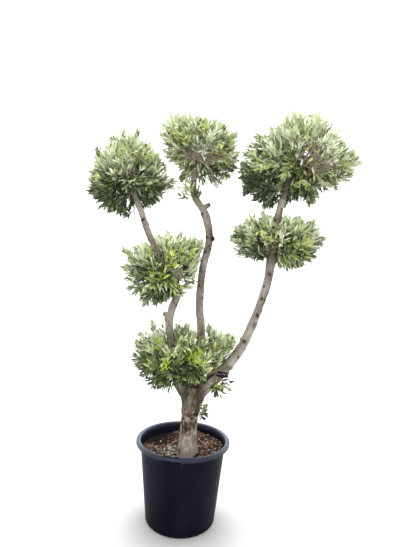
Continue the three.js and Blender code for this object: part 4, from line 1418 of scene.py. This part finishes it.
def deal_along(spray, chance):
    """Deals the leaves of one spray: its own colour, darker towards the foot of the shoot."""

    def deal(back):
        if spray in (FRESH, NEW):
            return spray if back < 0.6 and chance.random() < 0.85 else OLIVE
        shift = chance.choices((-2, -1, 0, 1), (0.05, 0.18, 0.54, 0.23))[0]
        if back > 0.6 and chance.random() < (0.35 if spray > OLIVE else 0.55):
            shift -= 1
        return min(PALE, max(SHADED, spray + shift))

    return deal


class Ball:
    """A clipped ball as it grows: its twigs, its leaves and the twig ends that shoots start from."""

    def __init__(self, cloud, chance):
        self.cloud = cloud
        self.chance = chance
        self.centre = Vector(cloud["centre"])
        self.twigs = TwigMesh()
        self.leaves = []
        self.ends = []

    def reach(self, way):
        """How far the clipped outline is from the centre along a unit direction."""
        return outline_reach(self.cloud, way)[0]

    def nearest_end(self, point):
        """The twig end that lies nearest to a point, with its radius."""
        return min(self.ends, key=lambda end: (end[0] - point).length)

    def grow_wood(self):
        """Grows the stem from its limb, then the arms, the branches and the side twigs."""
        bough, along = self.cloud["stem"]
        at_end = along == 1
        foot = limb_point(bough, along)
        foot_radius = limb_radius(bough, along) * (STEM_SHARE_AT_END if at_end else STEM_SHARE_BESIDE)
        hub = foot.lerp(self.centre, HUB_SHARE_AT_END if at_end else HUB_SHARE_BESIDE)
        hub_radius = foot_radius * STEM_TAPER
        self.twigs.add(bowed(foot, foot.lerp(hub, 0.5), hub, 5), foot_radius, hub_radius, 10, 0)
        self.ends = [(hub, hub_radius)]
        for count, share, radius, sides in WOOD_ORDERS:
            grown = []
            for way in golden_ways(count):
                way = (way + jitter(self.chance, 0.09)).normalized()
                tip = self.centre + way * self.reach(way) * share * self.chance.uniform(0.9, 1.08)
                if not clear_of_wood(tip)[0]:
                    continue
                start, start_radius = self.nearest_end(tip)
                bend = (start + tip) / 2 + jitter(self.chance, 0.08) * (tip - start).length
                foot_radius, end_radius = min(radius * 1.35, start_radius), radius * WOOD_TAPER
                self.twigs.add(bowed(start, bend, tip, 3), foot_radius, end_radius, sides, 0)
                grown.append((tip, end_radius))
            self.ends = grown

    def add_shoot(self, tip, way, leafed, colour, size, step=LEAF_STEP):
        """Grows a shoot to a tip from the nearest twig end, with pairs of leaves down from the tip."""
        base = tip - way * leafed
        start, start_radius = self.nearest_end(base)
        if in_gap(self.cloud, np.array([tip, base])).any() or not clear_of_wood(tip)[0]:
            return
        path = bowed(start, base, tip, 6)
        self.twigs.add(path, min(SHOOT_RADII[0], start_radius), SHOOT_RADII[1], 3, 1)
        sunward = (tip - self.centre).normalized() * 0.5 + Vector((0, 0, 0.8))
        deal = deal_along(colour, self.chance)
        leaf_pairs(self.leaves, path, leafed, self.chance, deal, size, sunward, step)

    def fill_inside(self):
        """Short leafy shoots under the clipped surface, dark below and paler towards the top."""
        for way in golden_ways(INNER_SHOOTS):
            way = (way + jitter(self.chance, 0.15)).normalized()
            tip = self.centre + way * self.reach(way) * self.chance.uniform(*INNER_REACH)
            shoot_way = (way + jitter(self.chance, 0.5)).normalized()
            # Inner leaves are dark below and paler above, as painted shade and painted light.
            colour = SHADED if way.z < 0.2 else OLIVE if way.z < 0.6 else GREY
            self.add_shoot(tip, shoot_way, INNER_LEAFED, colour, 1.0)

    def in_burst(self, crest):
        """Whether a place is on one of the bursts of young growth."""
        seen = (seen_within(self.cloud, [crest], *burst, burst[2])[0] for burst in self.cloud["bursts"])
        return crest.y < self.centre.y and any(seen)

    def grow_clumps(self):
        """Covers the ball all round in clumps of shoots that turn up and end at the clipped outline."""
        cloud, chance = self.cloud, self.chance
        mean_reach = outline_reach(cloud, golden_ways(200)).mean()
        for way in golden_ways(round(4 * math.pi * mean_reach**2 / CLUMP_SPACING**2)):
            way = (way + jitter(chance, 0.06)).normalized()
            lift = cloud["lift"] * min(1.0, max(-0.3, (way.z + 0.5) / 0.6))
            grown_way = (way + Vector((0, 0, lift)) + jitter(chance, 0.12)).normalized()
            overhang = LEAF_LENGTH[0] * 0.72 * max(0.2, grown_way.dot(way))
            fullness = chance.triangular(*CLUMP_FULLNESS) + 0.05 * max(0.0, -way.z)
            fullness += 0.10 * noise.noise((self.centre * 3 + way * 2.6))
            reach = self.reach(way) * fullness
            crest = self.centre + way * (reach - overhang)
            colour = place_colour(cloud, way * reach, chance)
            size = 1.0
            if self.in_burst(crest):
                colour = cloud["young"]
                size = BURST_SIZE
            for _ in range(CLUMP_SHOOTS):
                leafed = chance.uniform(*SHOOT_LEAFED)
                shoot_way = (grown_way + jitter(chance, 0.20)).normalized()
                tip = crest + (shoot_way - grown_way) * 0.08 - grown_way * chance.uniform(-0.006, 0.020)
                older = colour == cloud["young"] and chance.random() < 0.35
                self.add_shoot(tip, shoot_way, leafed, OLIVE if older else colour, size)

    def grow_bursts(self):
        """Sets a star of young shoots at the middle of each burst."""
        for across, up, _ in self.cloud["bursts"]:
            place = front_place(self.cloud, across, up)
            for _ in range(STAR_SHOOTS):
                way = (Vector((0, -1, 0.2)) + jitter(self.chance, 0.6)).normalized()
                self.add_shoot(place - way * 0.020, way, STAR_LEAFED, self.cloud["young"], STAR_SIZE)

    def grow_leaders(self):
        """Thin upright shoots with small leaves that have grown past the outline."""
        for shoot in self.cloud["shoots"]:
            way = (Vector(shoot).normalized() + Vector((0, 0, 1.2))).normalized()
            tip = self.centre + Vector(shoot) - way * LEAF_LENGTH[0] * LEADER_SIZE
            self.add_shoot(tip, way, LEADER_LEAFED, OLIVE, LEADER_SIZE, LEADER_STEP)

    def grow_sprays(self):
        """Fuller tips that stand out of the outline."""
        for spray in self.cloud["sprays"]:
            way = (Vector(spray).normalized() + Vector((0, 0, 0.35))).normalized()
            for _ in range(SPRAY_SHOOTS):
                shoot_way = (way + jitter(self.chance, 0.22)).normalized()
                tip = self.centre + Vector(spray) - shoot_way * LEAF_LENGTH[0] * 0.6
                tip += jitter(self.chance, 0.006)
                colour = min(OLIVE, place_colour(self.cloud, Vector(spray), self.chance))
                self.add_shoot(tip, shoot_way, SPRAY_LEAFED, colour, SPRAY_SIZE)

    def leave_dead_twigs(self):
        """Dead twigs that still hold a few small dark leaves."""
        for start, tip in self.cloud.get("dead", []):
            start, tip = Vector(start), Vector(tip)
            path = bowed(start, start.lerp(tip, 0.5) + jitter(self.chance, 0.004), tip, 4)
            self.twigs.add(path, *DEAD_RADII, 4, 0)
            leaf_pairs(
                self.leaves,
                path,
                DEAD_LEAFED,
                self.chance,
                lambda back: SHADED,
                DEAD_SIZE,
                Vector((0, 0, 1)),
                DEAD_LEAFED,
            )

    def grow_tangles(self):
        """Bare old twigs that cross where the leaves are thin."""
        for across, up, half_wide, half_high in self.cloud["tangles"]:
            for _ in range(min(TANGLE_TWIGS, round(TANGLE_TWIGS_PER_AREA * half_wide * half_high))):
                turn = self.chance.uniform(0, 2 * math.pi)
                out = math.sqrt(self.chance.random())
                x = across + half_wide * out * math.cos(turn)
                z = up + half_high * out * math.sin(turn)
                face = Vector((x, -self.cloud["half"][1] * 0.8, z)).normalized()
                tip = self.centre + face * self.reach(face) * self.chance.uniform(*TANGLE_REACH)
                start, _ = self.nearest_end(self.centre.lerp(tip, 0.7) + jitter(self.chance, 0.03))
                bend = (start + tip) / 2 + jitter(self.chance, 0.010)
                self.twigs.add(bowed(start, bend, tip, 4), *TANGLE_RADII, 3, 0)

    def grow(self):
        """Grows the whole ball, from its stem outwards."""
        self.grow_wood()
        self.fill_inside()
        self.grow_clumps()
        self.grow_bursts()
        self.grow_leaders()
        self.grow_sprays()
        self.leave_dead_twigs()
        self.grow_tangles()


def thinned(cloud, leaves, dice):
    """The leaves without those that would stand out of the ball, touch a limb or close a gap.

    Those in front of a stretch of limb that shows are left off too, and most in front of a tangle."""
    bases, ways = (np.array([leaf[i] for leaf in leaves]) for i in (0, 1))
    lengths = np.array([leaf[3] for leaf in leaves])[:, None]
    centre = np.array(cloud["centre"])
    free_tips = np.array([centre + np.array(place) for place in cloud["shoots"] + cloud["sprays"]])
    luck = dice.random(len(leaves))
    keep = np.ones(len(leaves), bool)
    for share in (0.05, 0.5, 1.0):
        points = bases + ways * lengths * share
        offsets = points - centre
        away = np.linalg.norm(offsets, axis=1)
        reach = outline_reach(cloud, offsets / away[:, None])
        free = np.linalg.norm(points[:, None] - free_tips[None], axis=2).min(axis=1) < FREE_TIP_RADIUS
        keep &= (away < reach * LEAF_OVERHANG) | free
        keep &= clear_of_wood(points)
        keep &= ~in_gap(cloud, points)
        keep &= ~hides_bough(cloud, points)
        front = points[:, 1] < centre[1] + 0.02
        for tangle in cloud["tangles"]:
            keep &= ~(front & seen_within(cloud, points, *tangle) & (luck < TANGLE_BARE_SHARE))
    return [leaf for leaf, stays in zip(leaves, keep) if stays]


for number, cloud in enumerate(CLOUDS):
    ball = Ball(cloud, random.Random(900 + number))
    ball.grow()
    leaves = thinned(cloud, ball.leaves, np.random.default_rng(40 + number))
    twig_piece = ball.twigs.piece("twigs_" + cloud["node"])
    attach(twig_piece, "root")
    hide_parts(cloud["node"])
    leaf_piece = leaves_piece("leaves_" + cloud["node"], leaves, leaf_finishes, LEAF_UNDERSIDES)
    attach(leaf_piece, "root")
    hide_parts(cloud["node"])

# ==== The tufts =================================================================================
# Short shoots that have broken straight from the bark of the trunk, the fork and the middle bough.
# They are young and have not been rubbed off yet.

# Each sprig of a tuft has the way it points, its length, its number of shoots and their colours.
TUFTS = [
    {
        "node": "tuft_trunk", "limb": "trunk", "along": 0.70, "size": 0.72,
        "sprigs": [((0.8, -0.45, -0.05), 0.024, 9, (SHADED, SHADED, GREEN))],
    },
    {
        "node": "tuft_fork", "limb": "right_bough", "along": 0.10, "size": 0.85,
        "sprigs": [
            ((0.55, -0.50, -0.66), 0.052, 7, (GREEN, OLIVE, GREY, SHADED)),
            ((-0.10, -0.75, -0.80), 0.046, 5, (NEW, OLIVE, SHADED)),
        ],
    },
    {
        "node": "tuft_middle_bough", "limb": "middle_bough", "along": 0.84, "size": 0.85,
        "sprigs": [
            ((-0.82, -0.35, 0.66), 0.084, 12, (GREEN, OLIVE, GREEN)),
            ((0.60, -0.45, 0.75), 0.030, 4, (SHADED, GREEN)),
        ],
    },
]

SPRIG_RADII = (0.0018, 0.0008)
SPRIG_FACING = Vector((0, -0.3, 0.7))

for number, tuft in enumerate(TUFTS):
    chance = random.Random(70 + number)
    foot = limb_point(tuft["limb"], tuft["along"])
    bark_out = limb_radius(tuft["limb"], tuft["along"])
    twigs = TwigMesh()
    leaves = []
    for towards, length, shoots, colours in tuft["sprigs"]:
        for _ in range(shoots):
            way = (Vector(towards).normalized() + jitter(chance, 0.32)).normalized()
            start = foot + way * bark_out * 0.8
            leafed = length * chance.uniform(0.7, 1.1)
            end = start + way * (bark_out * 0.2 + leafed)
            path = bowed(start, (start + end) / 2 - Vector((0, 0, 0.004)), end, 4)
            twigs.add(path, *SPRIG_RADII, 3, 1)
            colour = chance.choice(colours)
            held = min(leafed * 0.8, 0.045)
            leaf_pairs(leaves, path, held, chance, lambda back: colour, tuft["size"], SPRIG_FACING)
    leaves = [leaf for leaf in leaves if clear_of_wood(leaf[0] + leaf[1] * leaf[3])[0]]
    twig_piece = twigs.piece("twigs_" + tuft["node"])
    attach(twig_piece, "root")
    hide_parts(tuft["node"])
    leaf_piece = leaves_piece("leaves_" + tuft["node"], leaves, leaf_finishes, LEAF_UNDERSIDES)
    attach(leaf_piece, "root")
    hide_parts(tuft["node"])
